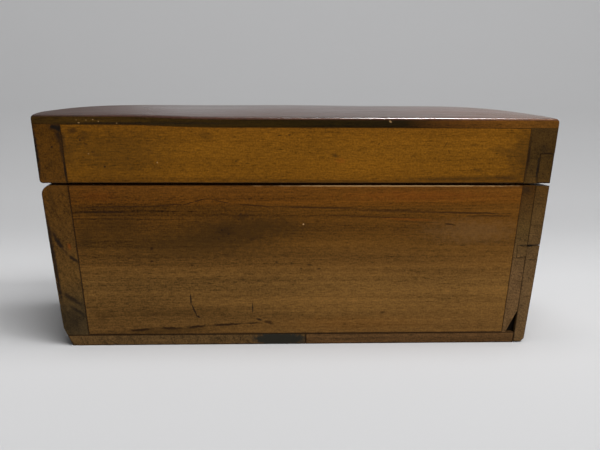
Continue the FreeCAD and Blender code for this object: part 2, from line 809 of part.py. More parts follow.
def main():
    fill_sheet()
    pieces = build_carcase()
    pieces += build_right_end()
    pieces += build_end_panels()
    pieces += build_lid()
    pieces += build_hinges()
    pieces += build_lock()
    pieces += build_key()
    doc.recompute()
    check_document(pieces)
    os.makedirs("parts", exist_ok=True)
    for piece in pieces:
        piece.Shape.exportStep(f"parts/{piece.Label}.step")
        print(f"{piece.Label}: {len(piece.Shape.Solids)} solid, {piece.Shape.Volume:.1f} mm3")


main()
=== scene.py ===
"""Dresses the puzzle box: worn varnished boards, aged brass fittings and an iron key, in a plain studio."""
import logging
import math
from dataclasses import dataclass
from enum import Enum
from typing import Any, Iterable, Sequence

import bmesh
import bpy
from mathutils import Matrix, Vector
from mathutils.bvhtree import BVHTree


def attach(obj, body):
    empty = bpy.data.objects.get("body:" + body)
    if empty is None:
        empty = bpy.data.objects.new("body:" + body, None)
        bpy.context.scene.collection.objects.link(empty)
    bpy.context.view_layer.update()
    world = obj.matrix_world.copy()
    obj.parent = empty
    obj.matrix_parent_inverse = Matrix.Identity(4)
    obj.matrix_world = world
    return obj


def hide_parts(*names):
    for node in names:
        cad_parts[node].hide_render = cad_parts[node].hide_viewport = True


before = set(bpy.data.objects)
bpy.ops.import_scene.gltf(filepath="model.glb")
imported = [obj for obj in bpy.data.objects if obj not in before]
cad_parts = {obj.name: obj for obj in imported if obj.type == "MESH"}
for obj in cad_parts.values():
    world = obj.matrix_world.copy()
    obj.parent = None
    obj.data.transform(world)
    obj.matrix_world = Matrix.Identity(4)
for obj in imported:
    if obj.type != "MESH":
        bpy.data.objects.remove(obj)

LOG = logging.getLogger("puzzle_box")
MM = 0.001
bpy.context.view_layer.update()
# Name of the mesh attribute that marks the band beside each eased edge, which is darkened with dirt and with
# painted shade in the joints.
EDGE_DIRT_AND_SHADE = "edge_dirt_and_shade"
HALF_LENGTH = 95.0
MARK_DEPTH = 1.5
RAGGED_SCALE = 0.55
RAGGED_DETAIL = 4.0
RAGGED_REACH = 1.2
DARKEST_SHADE = 0.15
METAL_RELIEF = 0.05
MERGE_DISTANCE = 0.001
SHARP_ANGLE = math.radians(50)
INSIDE_LENGTH = 0.996
INSIDE_DEPTH = 0.999

Colour = tuple[float, float, float]
Socket = bpy.types.NodeSocket


def srgb(red: int, green: int, blue: int) -> Colour:
    """Turn a display colour into the linear colour that a shader takes.

    Args:
        red, green, blue: Channels from 0 to 255.

    Returns:
        The linear colour.
    """
    channels = (channel / 255 for channel in (red, green, blue))
    return tuple(c / 12.92 if c <= 0.04045 else ((c + 0.055) / 1.055) ** 2.4 for c in channels)


class Grain(Enum):
    """The way that a board's fibres run: along the box's length, or front to back."""

    LENGTHWISE = ("x", "y", "z")
    DEPTHWISE = ("y", "x", "z")


class Tone(Enum):
    """The colours of the marks: what the stains in the wood are made of, and painted shade and painted
    highlights.
    """

    DARK = srgb(30, 17, 7)
    # Near-black: soot in scratches, pits and streaks, and painted shade in the chip, the joints and the
    # left-hand outlines.
    SOOT_AND_SHADE = srgb(16, 13, 10)
    RUST = srgb(120, 58, 14)
    AMBER = srgb(112, 66, 14)
    # Pale: pale flecks in the wood, and the painted highlight along the body's rim.
    PALE = srgb(178, 142, 96)
    UMBER = srgb(48, 31, 9)
    KNOT = srgb(35, 33, 27)
    TAN = srgb(112, 82, 48)


class Noise(Enum):
    """Layers of noise: cycles per millimetre along each axis, number of finer layers, and their strength."""

    DRIFT = ((0.011, 0.03, 0.03), 2.0, 0.55)
    STREAK = ((0.010, 0.42, 0.42), 4.0, 0.55)
    FIBRE = ((0.32, 2.0, 2.0), 3.0, 0.7)
    SPECKLE = ((1.5, 1.5, 1.5), 2.0, 0.6)
    PORE = ((0.20, 2.4, 2.4), 2.0, 0.55)
    CLOUD = ((0.028, 0.05, 0.05), 3.0, 0.55)
    RING_SPACING = ((0.006, 0.16, 0.16), 3.0, 0.55)
    RING_PATCH = ((0.02, 0.30, 0.30), 3.0, 0.55)
    EDGE_PATCH = ((0.30, 0.3, 0.3), 4.0, 0.55)
    FILM = ((0.35, 0.35, 0.35), 5.0, 0.6)
    BRUSHING = ((0.4, 6.0, 6.0), 2.0, 0.55)


@dataclass(frozen=True)
class Mark:
    """A stain, pit, scratch, rubbed spot, patch of painted shade or painted highlight on the front, in
    millimetres.

    Attributes:
        x, z: Its middle, seen from the front.
        width, height: Half its length and half its breadth.
        tone: Its colour: what a stain is made of, and for some marks the colour of painted shade or a painted
            highlight.
        strength: How much of its tone covers the wood.
        turn: Degrees that it is turned, counter-clockwise.
        edge: Share of its size over which it fades out.
        sink: How far it is sunk, as a share of the deepest pit.
        behind: How far behind the face its middle lies.
    """

    x: float
    z: float
    width: float
    height: float
    tone: Tone = Tone.DARK
    strength: float = 0.6
    turn: float = 0.0
    edge: float = 0.7
    sink: float = 0.0
    behind: float = 0.0


class Graph:
    """Adds shader nodes to one new material and links them."""

    def __init__(self, name: str) -> None:
        """Start a material that has only its principled shader.

        Args:
            name: Name of the material.
        """
        self.material = bpy.data.materials.new(name)
        self.material.use_nodes = True
        self.tree = self.material.node_tree
        self.shader = self.tree.nodes["Principled BSDF"]

    def feed(self, socket: Socket, value: Any) -> None:
        """Link a socket to another, or set its constant.

        Args:
            socket: The input to feed.
            value: The socket to link it to, or the constant.
        """
        if isinstance(value, bpy.types.NodeSocket):
            self.tree.links.new(value, socket)
        else:
            socket.default_value = value

    def add(self, kind: str, inputs: dict[Any, Any], **settings: Any) -> bpy.types.Node:
        """Add a node.

        Args:
            kind: The node's type.
            inputs: Values or sockets for its inputs, by name or place.
            **settings: Properties of the node itself.

        Returns:
            The new node.
        """
        node = self.tree.nodes.new(kind)
        for key, value in settings.items():
            setattr(node, key, value)
        for key, value in inputs.items():
            self.feed(node.inputs[key], value)
        return node

    def place(self) -> Socket:
        """The point on the piece, in the box's own frame.

        Returns:
            The point, in millimetres.
        """
        coordinates = self.add("ShaderNodeTexCoord", {}).outputs["Object"]
        inputs = {0: coordinates, "Scale": 1 / MM}
        return self.add("ShaderNodeVectorMath", inputs, operation="SCALE").outputs[0]

    def parts(self, vector: Socket) -> dict[str, Socket]:
        """The x, y and z of a vector."""
        node = self.add("ShaderNodeSeparateXYZ", {0: vector})
        return {"x": node.outputs[0], "y": node.outputs[1], "z": node.outputs[2]}

    def math(self, operation: str, first: Any, second: Any = 0.0) -> Socket:
        """One arithmetic step on two values."""
        return self.add("ShaderNodeMath", {0: first, 1: second}, operation=operation).outputs[0]

    def stretch(self, vector: Socket, scale: Sequence[float]) -> Socket:
        """A vector with each of its parts multiplied."""
        return self.add("ShaderNodeVectorMath", {0: vector, 1: tuple(scale)}, operation="MULTIPLY").outputs[0]

    def noise(self, vector: Socket, layer: Noise) -> Socket:
        """Smooth noise around one half.

        Args:
            vector: Where to read it, in millimetres.
            layer: The layer's sizes.

        Returns:
            The noise value.
        """
        scale, detail, rough = layer.value
        inputs = {"Vector": self.stretch(vector, scale), "Scale": 1.0, "Detail": detail, "Roughness": rough}
        return self.add("ShaderNodeTexNoise", inputs).outputs[0]

    def span(self, value: Any, low: float, high: float, start: Any = 0.0, end: Any = 1.0) -> Socket:
        """Ease a value from start to end while it goes from low to high."""
        inputs = {"Value": value, "From Min": low, "From Max": high, "To Min": start, "To Max": end}
        return self.add("ShaderNodeMapRange", inputs, interpolation_type="SMOOTHSTEP").outputs[0]

    def share(self, value: Socket, low: float, high: float) -> Socket:
        """Carry a value from low to high onto 0 to 1 in a straight line."""
        inputs = {"Value": value, "From Min": low, "From Max": high}
        return self.add("ShaderNodeMapRange", inputs).outputs[0]

    def centred(self, value: Socket, amount: float, middle: float = 0.5) -> Socket:
        """A noise value moved to swing about zero by an amount."""
        return self.math("MULTIPLY", self.math("SUBTRACT", value, middle), amount)

    def ramp(self, factor: Socket, stops: Sequence[tuple[float, Colour]]) -> Socket:
        """A colour that runs through stops.

        Args:
            factor: Where to read it, from 0 to 1.
            stops: Positions from 0 to 1, and their colours.

        Returns:
            The colour.
        """
        node = self.add("ShaderNodeValToRGB", {0: factor})
        elements = node.color_ramp.elements
        while len(elements) < len(stops):
            elements.new(1.0)
        for element, (position, colour) in zip(elements, stops):
            element.position = position
            element.color = (*colour, 1.0)
        return node.outputs[0]

    def blend(self, factor: Any, first: Any, second: Any) -> Socket:
        """One colour over another.

        Args:
            factor: Share of the second colour.
            first, second: The colours, or the sockets that carry them.

        Returns:
            The mixed colour.
        """
        node = self.add("ShaderNodeMix", {0: factor}, data_type="RGBA")
        for socket, value in ((node.inputs[6], first), (node.inputs[7], second)):
            self.feed(socket, (*value, 1.0) if isinstance(value, tuple) else value)
        return node.outputs[2]

    def dim(self, colour: Socket, factor: Socket) -> Socket:
        """A colour made lighter or darker."""
        return self.add("ShaderNodeVectorMath", {0: colour, "Scale": factor}, operation="SCALE").outputs[0]

    def bump(self, height: Socket, strength: float, distance: float) -> Socket:
        """A surface normal from a height."""
        inputs = {"Height": height, "Strength": strength, "Distance": distance}
        return self.add("ShaderNodeBump", inputs).outputs[0]

    def mark(self, place: Socket, ragged: Socket, mark: Mark, front: float) -> Socket:
        """How much of a mark lies at a point.

        Args:
            place: The point, in millimetres.
            ragged: How far its outline wanders there, as a share of its size.
            mark: The mark.
            front: Depth of the face that it is on.

        Returns:
            A mask from 0 to 1.
        """
        inputs = {
            "Vector": place,
            "Location": (mark.x, front + mark.behind, mark.z),
            "Rotation": (0.0, -math.radians(mark.turn), 0.0),
            "Scale": (mark.width, max(mark.width, MARK_DEPTH), mark.height),
        }
        local = self.add("ShaderNodeMapping", inputs, vector_type="TEXTURE").outputs[0]
        spot = self.add("ShaderNodeVectorMath", {0: local, 1: ragged}, operation="ADD").outputs[0]
        reach = self.add("ShaderNodeVectorMath", {0: spot}, operation="LENGTH").outputs["Value"]
        return self.span(reach, 1.0, 1.0 - mark.edge)


@dataclass(frozen=True)
class WoodFinish:
    """A varnished wood with rings, fibres, pores, stains and dirty edges.

    Attributes:
        name: Name of the material.
        tones: Colours at places along the tone axis, in millimetres.
        tone_axis: The axis that the tones change along.
        lean: How much lighter the right-hand end is than the left: a painted lighting gradient, as if lit
            from the right.
        grain: The way that the fibres run.
        heart: Where the rings are centred across the grain, in millimetres.
        ring_width: Distance from ring to ring, in millimetres.
        ring_depth: How dark the late wood is.
        ring_reach: Heights between which the rings are strong.
        ring_rest: Share of the rings left elsewhere.
        wander: How far rings and tones wander, in millimetres.
        streak, fibre, speckle, pore, blotch: Strengths of streaks, fibres, specks, pores and cloudy patches.
        relief: Height of the grain's relief, in millimetres.
        roughness: Roughness of the varnish.
        dull_end: Roughness that it gains at the left-hand end.
        dull_reach: Where along the length that gain starts, and where it is full, in millimetres.
        specular: Strength of the varnish's own reflection.
        rim_tone, rim_share: Colour of the darkened edges, which is dirt and painted shade in the joints, and
            how much of it shows.
        marks: Marks on the front.
        front: Depth of the face that the marks are on, in millimetres.
    """

    name: str
    tones: tuple[tuple[float, Colour], ...]
    tone_axis: str = "z"
    lean: float = 0.0
    grain: Grain = Grain.LENGTHWISE
    heart: tuple[float, float] = (-60.0, -150.0)
    ring_width: float = 2.6
    ring_depth: float = 0.22
    ring_reach: tuple[float, float] = (0.0, 90.0)
    ring_rest: float = 1.0
    wander: float = 3.0
    streak: float = 1.0
    fibre: float = 1.6
    speckle: float = 1.3
    pore: float = 0.45
    blotch: float = 0.5
    relief: float = 0.03
    roughness: float = 0.36
    dull_end: float = 0.0
    dull_reach: tuple[float, float] = (-40.0, -90.0)
    specular: float = 0.06
    rim_tone: Colour = srgb(24, 13, 6)
    rim_share: float = 0.75
    marks: tuple[Mark, ...] = ()
    front: float = -60.0

    def tone(self, graph: Graph, parts: dict[str, Socket], wander: Socket) -> Socket:
        """The wood's colour before its grain is laid over it.

        Args:
            graph: The material's nodes.
            parts: The point's x, y and z, in millimetres.
            wander: How far the figure wanders there.

        Returns:
            The colour.
        """
        run = graph.math("ADD", parts[self.tone_axis], wander)
        low, high = self.tones[0][0], self.tones[-1][0]
        stops = [((stop - low) / (high - low), colour) for stop, colour in self.tones]
        return graph.ramp(graph.share(run, low, high), stops)

    def material(self) -> bpy.types.Material:
        """Build the material, or give it back if it is built already.

        Returns:
            The material.
        """
        known = bpy.data.materials.get(self.name)
        if known:
            return known
        graph = Graph(self.name)
        place = graph.place()
        parts = graph.parts(place)
        along, across, up = (parts[axis] for axis in self.grain.value)
        run = graph.add("ShaderNodeCombineXYZ", {0: along, 1: across, 2: up}).outputs[0]

        drift = graph.centred(graph.noise(run, Noise.DRIFT), 2 * self.wander)
        streak = graph.noise(run, Noise.STREAK)
        ring = self.rings(graph, run, across, up, drift)
        fibre = graph.noise(run, Noise.FIBRE)
        speckle = graph.noise(place, Noise.SPECKLE)
        pore = graph.span(graph.noise(run, Noise.PORE), 0.60, 0.70)
        cloud = graph.noise(place, Noise.CLOUD)

        shade = graph.math("SUBTRACT", 1.0, graph.math("MULTIPLY", ring, self.ring_depth))
        for layer, amount in (
            (streak, self.streak),
            (fibre, self.fibre),
            (speckle, self.speckle),
            (cloud, self.blotch),
        ):
            shade = graph.math("ADD", shade, graph.centred(layer, amount))
        # Painted light: the wood is made lighter towards the right-hand end and darker towards the left, as
        # if lit from the right.
        shade = graph.math("ADD", shade, graph.math("MULTIPLY", parts["x"], self.lean / HALF_LENGTH))
        shade = graph.math("SUBTRACT", shade, graph.math("MULTIPLY", pore, self.pore))
        colour = graph.dim(self.tone(graph, parts, drift), graph.math("MAXIMUM", shade, DARKEST_SHADE))

        height = graph.math("ADD", graph.math("MULTIPLY", fibre, 0.5), graph.math("MULTIPLY", ring, 0.25))
        height = graph.math("SUBTRACT", height, graph.math("MULTIPLY", pore, 0.6))
        colour = self.edge_dirt_and_joint_shade(graph, place, colour)
        colour, height = self.marked(graph, place, colour, height)

        dull = graph.math("ADD", self.roughness, graph.centred(cloud, 0.16))
        dull = graph.math("ADD", dull, graph.centred(streak, 0.10))
        dull = graph.math("ADD", dull, graph.math("MULTIPLY", pore, 0.15))
        dull = graph.math("ADD", dull, graph.span(parts["x"], *self.dull_reach, 0.0, self.dull_end))
        graph.feed(graph.shader.inputs["Base Color"], colour)
        graph.feed(graph.shader.inputs["Roughness"], dull)
        graph.feed(graph.shader.inputs["Normal"], graph.bump(height, 0.5, self.relief * MM))
        graph.shader.inputs["Specular IOR Level"].default_value = self.specular
        return graph.material

    def edge_dirt_and_joint_shade(self, graph: Graph, place: Socket, colour: Socket) -> Socket:
        """Lay the dark edge colour over the wood: dirt on the edges, and painted shade in the joints between
        boards.

        Args:
            graph: The material's nodes.
            place: The point, in millimetres.
            colour: The wood's colour.

        Returns:
            The colour with its edges.
        """
        edge_dirt_and_shade = graph.add("ShaderNodeAttribute", {}, attribute_name=EDGE_DIRT_AND_SHADE).outputs["Fac"]
        ragged_dirt_and_shade = graph.math("ADD", edge_dirt_and_shade, graph.centred(graph.noise(place, Noise.EDGE_PATCH), 0.9))
        # Dirt and painted shade: the eased edges are darkened, which also paints shade into the joints
        # between boards.
        rim = graph.math("MULTIPLY", graph.span(ragged_dirt_and_shade, 0.25, 1.0), self.rim_share)
        return graph.blend(rim, colour, self.rim_tone)

    def rings(self, graph: Graph, run: Socket, across: Socket, up: Socket, drift: Socket) -> Socket:
        """Late wood of the year rings, from 0 to 1, with uneven spacing and strength.

        Args:
            graph: The material's nodes.
            run: The point in the grain's own directions.
            across, up: The two coordinates across the grain.
            drift: How far the rings wander.

        Returns:
            The late wood's share.
        """
        side = graph.math("SUBTRACT", across, self.heart[0])
        rise = graph.math("SUBTRACT", up, self.heart[1])
        squares = graph.math("ADD", graph.math("POWER", side, 2.0), graph.math("POWER", rise, 2.0))
        radius = graph.math("ADD", graph.math("SQRT", squares), drift)
        uneven = graph.centred(graph.noise(run, Noise.RING_SPACING), 4.0 * self.ring_width)
        turns = graph.math("DIVIDE", graph.math("ADD", radius, uneven), self.ring_width)
        share = graph.math("FRACT", turns)
        late = graph.math("MULTIPLY", graph.span(share, 0.35, 0.88), graph.span(share, 1.0, 0.93))
        patchy = graph.span(graph.noise(run, Noise.RING_PATCH), 0.36, 0.60)
        low, high = self.ring_reach
        offset = graph.math("ABSOLUTE", graph.math("SUBTRACT", up, (low + high) / 2))
        strength = graph.span(offset, (high - low) / 2, high - low, 1.0, self.ring_rest)
        return graph.math("MULTIPLY", graph.math("MULTIPLY", late, patchy), strength)

    def marked(self, graph: Graph, place: Socket, colour: Socket, height: Socket) -> tuple[Socket, Socket]:
        """Lay the marks over the wood.

        Args:
            graph: The material's nodes.
            place: The point, in millimetres.
            colour: The wood's colour.
            height: The wood's height.

        Returns:
            The marked colour and height.
        """
        if not self.marks:
            return colour, height
        inputs = {"Vector": place, "Scale": RAGGED_SCALE, "Detail": RAGGED_DETAIL}
        noise = graph.add("ShaderNodeTexNoise", inputs).outputs["Color"]
        middle = (0.5, 0.5, 0.5)
        swing = graph.add("ShaderNodeVectorMath", {0: noise, 1: middle}, operation="SUBTRACT").outputs[0]
        ragged = graph.stretch(swing, (RAGGED_REACH, 0.0, RAGGED_REACH))
        for mark in self.marks:
            mask = graph.mark(place, ragged, mark, self.front)
            colour = graph.blend(graph.math("MULTIPLY", mask, mark.strength), colour, mark.tone.value)
            if mark.sink:
                height = graph.math("SUBTRACT", height, graph.math("MULTIPLY", mask, mark.sink))
        return colour, height


@dataclass(frozen=True)
class MetalFinish:
    """An aged metal with a dull film and rubbed high spots.

    Attributes:
        name: Name of the material.
        bright, film: Colours of the bare metal and of the film on it.
        cover: How much of it the film covers.
        roughness: Roughness of the bare metal.
    """

    name: str
    bright: Colour
    film: Colour
    cover: float
    roughness: float

    def material(self) -> bpy.types.Material:
        """Build the material, or give it back if it is built already.

        Returns:
            The material.
        """
        known = bpy.data.materials.get(self.name)
        if known:
            return known
        graph = Graph(self.name)
        place = graph.place()
        cloud = graph.noise(place, Noise.FILM)
        brushing = graph.noise(place, Noise.BRUSHING)
        relief = graph.bump(graph.math("ADD", cloud, brushing), 0.2, METAL_RELIEF * MM)
        film = graph.span(cloud, 0.62 - self.cover / 2, 0.78 - self.cover / 2)
        colour = graph.blend(film, self.bright, self.film)
        dull = graph.math("ADD", self.roughness, graph.math("MULTIPLY", film, 0.25))
        dull = graph.math("ADD", dull, graph.centred(brushing, 0.12))
        graph.feed(graph.shader.inputs["Base Color"], colour)
        graph.feed(graph.shader.inputs["Roughness"], dull)
        graph.feed(graph.shader.inputs["Normal"], relief)
        graph.shader.inputs["Metallic"].default_value = 1.0
        return graph.material


def new_object(name: str, mesh: bmesh.types.BMesh, material: bpy.types.Material) -> bpy.types.Object:
    """Make a scene object from a finished bmesh, and free the bmesh.

    Args:
        name: Name of the object.
        mesh: The finished bmesh.
        material: Its material.

    Returns:
        The object, at the origin.
    """
    data = bpy.data.meshes.new(name)
    mesh.to_mesh(data)
    mesh.free()
    data.materials.append(material)
    piece = bpy.data.objects.new(name, data)
    bpy.context.scene.collection.objects.link(piece)
    return piece


def part_way(value: float, start: float, end: float) -> float:
    """How far a value has come from start to end, from 0 to 1."""
    return min(max((value - start) / (end - start), 0.0), 1.0)


def merged_copy(node: str) -> bmesh.types.BMesh:
    """A copy of a CAD solid's mesh with its faces joined.

    Args:
        node: The solid's name.

    Returns:
        The copy.
    """
    mesh = bmesh.new()
    mesh.from_mesh(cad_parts[node].data)
    bmesh.ops.remove_doubles(mesh, verts=mesh.verts, dist=MERGE_DISTANCE * MM)
    return mesh


@dataclass(frozen=True)
class Warp:
    """The slight rise of the lid's front edge towards its left-hand corner, in millimetres.

    Attributes:
        rise: How far the corner stands up.
        start, full: Where along the length the rise starts, and where it is full.
        foot, head: Heights between which it grows.
        shoulder, crown: Heights between which it dies away again.
        front, back: Depths between which it dies away.
        slices: Number of slices that let a long board bend.
    """

    rise: float = 0.85
    start: float = -30.0
    full: float = -65.0
    foot: float = 59.0
    head: float = 78.0
    shoulder: float = 82.5
    crown: float = 86.2
    front: float = -60.0
    back: float = 60.0
    slices: int = 6

    def apply(self, mesh: bmesh.types.BMesh) -> None:
        """Slice a mesh across its length where it bends, and lift its corners.

        Args:
            mesh: The mesh to bend.
        """
        for cut in range(self.slices + 1):
            x = self.start + (self.full - self.start) * cut / self.slices
            geometry = [*mesh.verts, *mesh.edges, *mesh.faces]
            bmesh.ops.bisect_plane(mesh, geom=geometry, plane_co=(x * MM, 0, 0), plane_no=(1, 0, 0))
        for vert in mesh.verts:
            x, y, z = vert.co / MM
            along = part_way(x, self.start, self.full)
            eased = along**2 * (3 - 2 * along)
            upright = part_way(z, self.foot, self.head) * part_way(z, self.crown, self.shoulder)
            vert.co.z += self.rise * MM * eased * upright * part_way(y, self.back, self.front)


@dataclass(frozen=True)
class WoodenPiece:
    """A wooden piece that takes the place of one CAD solid.

    Attributes:
        node: The solid that it stands for.
        body: The body that it rides on.
        slot: The record's material slot. It is not used.
        finish: Its wood.
        warp: How it is bent out of true, if it is.
    """

    node: str
    body: str
    slot: str
    finish: WoodFinish
    warp: Warp | None

    def finished(self, mesh: bmesh.types.BMesh) -> bpy.types.Object:
        """Shade a finished mesh, give it its wood and put it in the solid's place.

        Args:
            mesh: The finished mesh.

        Returns:
            The piece.
        """
        if self.warp:
            self.warp.apply(mesh)
        for face in mesh.faces:
            face.smooth = True
        piece = new_object(f"{self.node}.worn", mesh, self.finish.material())
        piece.data.set_sharp_from_angle(angle=SHARP_ANGLE)
        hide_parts(self.node)
        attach(piece, self.body)
        return piece


@dataclass(frozen=True)
class Board(WoodenPiece):
    """A flat board: the solid with eased edges, darkened with dirt and with painted shade where it meets
    other boards.

    Attributes:
        ease: Width of the eased edges, in millimetres.
        band: Width of the darkened band beside an edge (dirt, and painted shade in the joints), in
            millimetres.
        broad: Width of the narrowest face that has such a band, in millimetres.
        crease: Degrees past which an edge is eased.
        least_edge: Length of the shortest edge that is eased, in millimetres.
        flat: Degrees under which neighbouring facets are joined to one face.
        segments: Number of steps round an eased edge.
    """

    ease: float = 0.35
    band: float = 0.3
    broad: float = 2.8
    crease: float = 28.0
    least_edge: float = 2.0
    flat: float = 0.15
    segments: int = 3

    def build(self) -> bpy.types.Object:
        """Copy the solid, ease its edges, mark the band of edge dirt and painted joint shade, and replace the
        solid.

        Returns:
            The finished piece.
        """
        mesh = merged_copy(self.node)
        limit = math.radians(self.flat)
        bmesh.ops.dissolve_limit(mesh, angle_limit=limit, verts=mesh.verts, edges=mesh.edges)
        self.ease_edges(mesh)
        self.mark_dirt_and_shade_band(mesh)
        return self.finished(mesh)

    def ease_edges(self, mesh: bmesh.types.BMesh) -> None:
        """Round the outward edges of the piece.

        Args:
            mesh: The piece's mesh.
        """
        crease = math.radians(self.crease)
        chosen = [
            edge
            for edge in mesh.edges
            if edge.is_manifold
            and edge.is_convex
            and edge.calc_face_angle() > crease
            and edge.calc_length() > self.least_edge * MM
        ]
        bmesh.ops.bevel(
            mesh,
            geom=chosen,
            offset=self.ease * MM,
            offset_type="OFFSET",
            segments=self.segments,
            profile=0.5,
            affect="EDGES",
            clamp_overlap=True,
            material=-1,
        )

    def mark_dirt_and_shade_band(self, mesh: bmesh.types.BMesh) -> None:
        """Inset a band inside each broad face, and store how near each corner is to an edge.

        Args:
            mesh: The piece's mesh.
        """
        layer = mesh.verts.layers.float.new(EDGE_DIRT_AND_SHADE)
        wide = [face for face in mesh.faces if 2 * face.calc_area() / face.calc_perimeter() > self.broad * MM]
        bmesh.ops.inset_individual(mesh, faces=wide, thickness=self.band * MM, use_even_offset=True)
        inner = {vert for face in wide for vert in face.verts}
        for vert in mesh.verts:
            vert[layer] = 0.0 if vert in inner else 1.0


@dataclass(frozen=True)
class CushionTop(WoodenPiece):
    """The lid's arched top board, laid over the solid as a fine grid with rounded arrises and a darkened band
    beside them.

    Attributes:
        wall_finish: The wood of its walls, which the polish doesn't reach.
        long_round, end_round: Radius of the arrises along the length and at the ends, in millimetres.
        steps: Number of steps round an arris.
        columns, rows: Number of grid steps from an arris to the middle, along the length and across it.
        rub: Width of the darkened band beside an arris, in millimetres.
        wall_rows: Shares of the way down at which the walls have a row of corners.
        foot: Height above the underside at which the walls' reach is measured, in millimetres.
        wall_lean: Upward part of a face's direction under which it counts as a wall.
    """

    wall_finish: WoodFinish
    long_round: float = 0.8
    end_round: float = 1.5
    steps: int = 5
    columns: int = 30
    rows: int = 16
    rub: float = 2.5
    wall_rows: tuple[float, ...] = (0.05, 1.0)
    foot: float = 0.1
    wall_lean: float = 0.5

    def build(self) -> bpy.types.Object:
        """Lay the grid, drop its walls and close it underneath.

        Returns:
            The finished piece.
        """
        solid = merged_copy(self.node)
        corner = Vector(max(vert.co[axis] for vert in solid.verts) for axis in range(3))
        low = min(vert.co.z for vert in solid.verts)
        tree = BVHTree.FromBMesh(solid)
        solid.free()

        mesh = bmesh.new()
        self.lay_grid(mesh, tree, corner)
        polished = set(mesh.faces)
        self.drop_walls(mesh, tree, low)
        for face in mesh.faces:
            upright = abs(face.normal.z) < self.wall_lean
            face.material_index = int(upright and face not in polished)
        piece = self.finished(mesh)
        piece.data.materials.append(self.wall_finish.material())
        return piece

    def lay_grid(self, mesh: bmesh.types.BMesh, tree: BVHTree, corner: Vector) -> None:
        """Lay the polished top as a grid, and store how near each corner is to an arris.

        Args:
            mesh: The empty mesh.
            tree: The solid, to measure it by.
            corner: The solid's largest x, y and z.
        """
        edge_dirt_and_shade = mesh.verts.layers.float.new(EDGE_DIRT_AND_SHADE)
        grid = []
        for side_y, inset_y in self.stations(corner.y, self.long_round * MM, self.rows):
            line = []
            for side_x, inset_x in self.stations(corner.x, self.end_round * MM, self.columns):
                spot = self.spot(tree, corner, (side_x, inset_x), (side_y, inset_y))
                vert = mesh.verts.new(spot)
                vert[edge_dirt_and_shade] = max(0.0, 1.0 - min(inset_x, inset_y) / (self.rub * MM))
                line.append(vert)
            grid.append(line)
        for first, second in zip(grid, grid[1:]):
            for quad in zip(first, first[1:], second[1:], second):
                mesh.faces.new(quad)

    def drop_walls(self, mesh: bmesh.types.BMesh, tree: BVHTree, low: float) -> None:
        """Drop walls from the grid's rim to the underside, and close it there.

        Args:
            mesh: The mesh with its grid.
            tree: The solid, to measure it by.
            low: Height of the underside, in metres.
        """
        foot_reach = self.reach(tree, 0.0, low + self.foot * MM)
        for share in self.wall_rows:
            for vert in self.extruded_rim(mesh):
                foot = Vector((max(-foot_reach, min(vert.co.x, foot_reach)), vert.co.y, low))
                vert.co = vert.co.lerp(foot, share)
        bmesh.ops.holes_fill(mesh, edges=[edge for edge in mesh.edges if edge.is_boundary])
        bmesh.ops.recalc_face_normals(mesh, faces=mesh.faces)

    @staticmethod
    def extruded_rim(mesh: bmesh.types.BMesh) -> list[bmesh.types.BMVert]:
        """Grow a new row of corners from the open rim.

        Args:
            mesh: The mesh with an open rim.

        Returns:
            The new corners, to be moved.
        """
        rim = [edge for edge in mesh.edges if edge.is_boundary]
        grown = bmesh.ops.extrude_edge_only(mesh, edges=rim)["geom"]
        return [item for item in grown if isinstance(item, bmesh.types.BMVert)]

    def stations(self, half: float, radius: float, count: int) -> list[tuple[int, float]]:
        """Where the grid's lines lie from wall to wall: the side, and the inset from that side's wall.

        Args:
            half: Distance from the middle to a wall, in metres.
            radius: Radius of the arris, in metres.
            count: Number of steps from the arris to the middle.

        Returns:
            The side (-1, 0 or 1) and inset of each line.
        """
        turns = (math.pi / 2 * step / self.steps for step in range(self.steps))
        insets = [radius * (1 - math.cos(turn)) for turn in turns]
        insets += [radius + (half - radius) * step / count for step in range(count)]
        near = [(-1, inset) for inset in insets]
        far = [(1, inset) for inset in reversed(insets)]
        return near + [(0, half)] + far

    def spot(
        self,
        tree: BVHTree,
        corner: Vector,
        station_x: tuple[int, float],
        station_y: tuple[int, float],
    ) -> Vector:
        """One point of the grid.

        Args:
            tree: The solid, to measure it by.
            corner: The solid's largest x, y and z.
            station_x, station_y: The side and inset of the two lines that cross there.

        Returns:
            The point.
        """
        side_x, inset_x = station_x
        side_y, inset_y = station_y
        y = side_y * (corner.y - inset_y)
        end_height = self.height(tree, corner.x - self.end_round * MM, y)
        reach = self.reach(tree, y, end_height - self.end_round * MM)
        x = side_x * (reach - inset_x)
        drop = max(self.drop(inset_x, self.end_round * MM), self.drop(inset_y, self.long_round * MM))
        return Vector((x, y, self.height(tree, x, y) - drop))

    @staticmethod
    def drop(inset: float, radius: float) -> float:
        """How far a rounded arris lies below the sharp one."""
        return radius - math.sqrt(radius**2 - max(radius - inset, 0.0) ** 2)

    @staticmethod
    def height(tree: BVHTree, x: float, y: float) -> float:
        """Height of the solid's top, measured just inside its walls."""
        hit = tree.ray_cast(Vector((INSIDE_LENGTH * x, INSIDE_DEPTH * y, 1.0)), Vector((0, 0, -1)))
        return hit[0].z

    @staticmethod
    def reach(tree: BVHTree, y: float, z: float) -> float:
        """Distance from the middle to the solid's right-hand wall at a height."""
        hit = tree.ray_cast(Vector((1.0, INSIDE_DEPTH * y, z)), Vector((-1, 0, 0)))
        return hit[0].x


def dress_node(node: str, finish: MetalFinish | WoodFinish) -> bpy.types.Object:
    """Give a CAD solid that is kept as it is its finish.

    Args:
        node: The solid's name.
        finish: Its finish.

    Returns:
        The solid's object.
    """
    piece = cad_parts[node]
    piece.data.materials.clear()
    piece.data.materials.append(finish.material())
    return piece


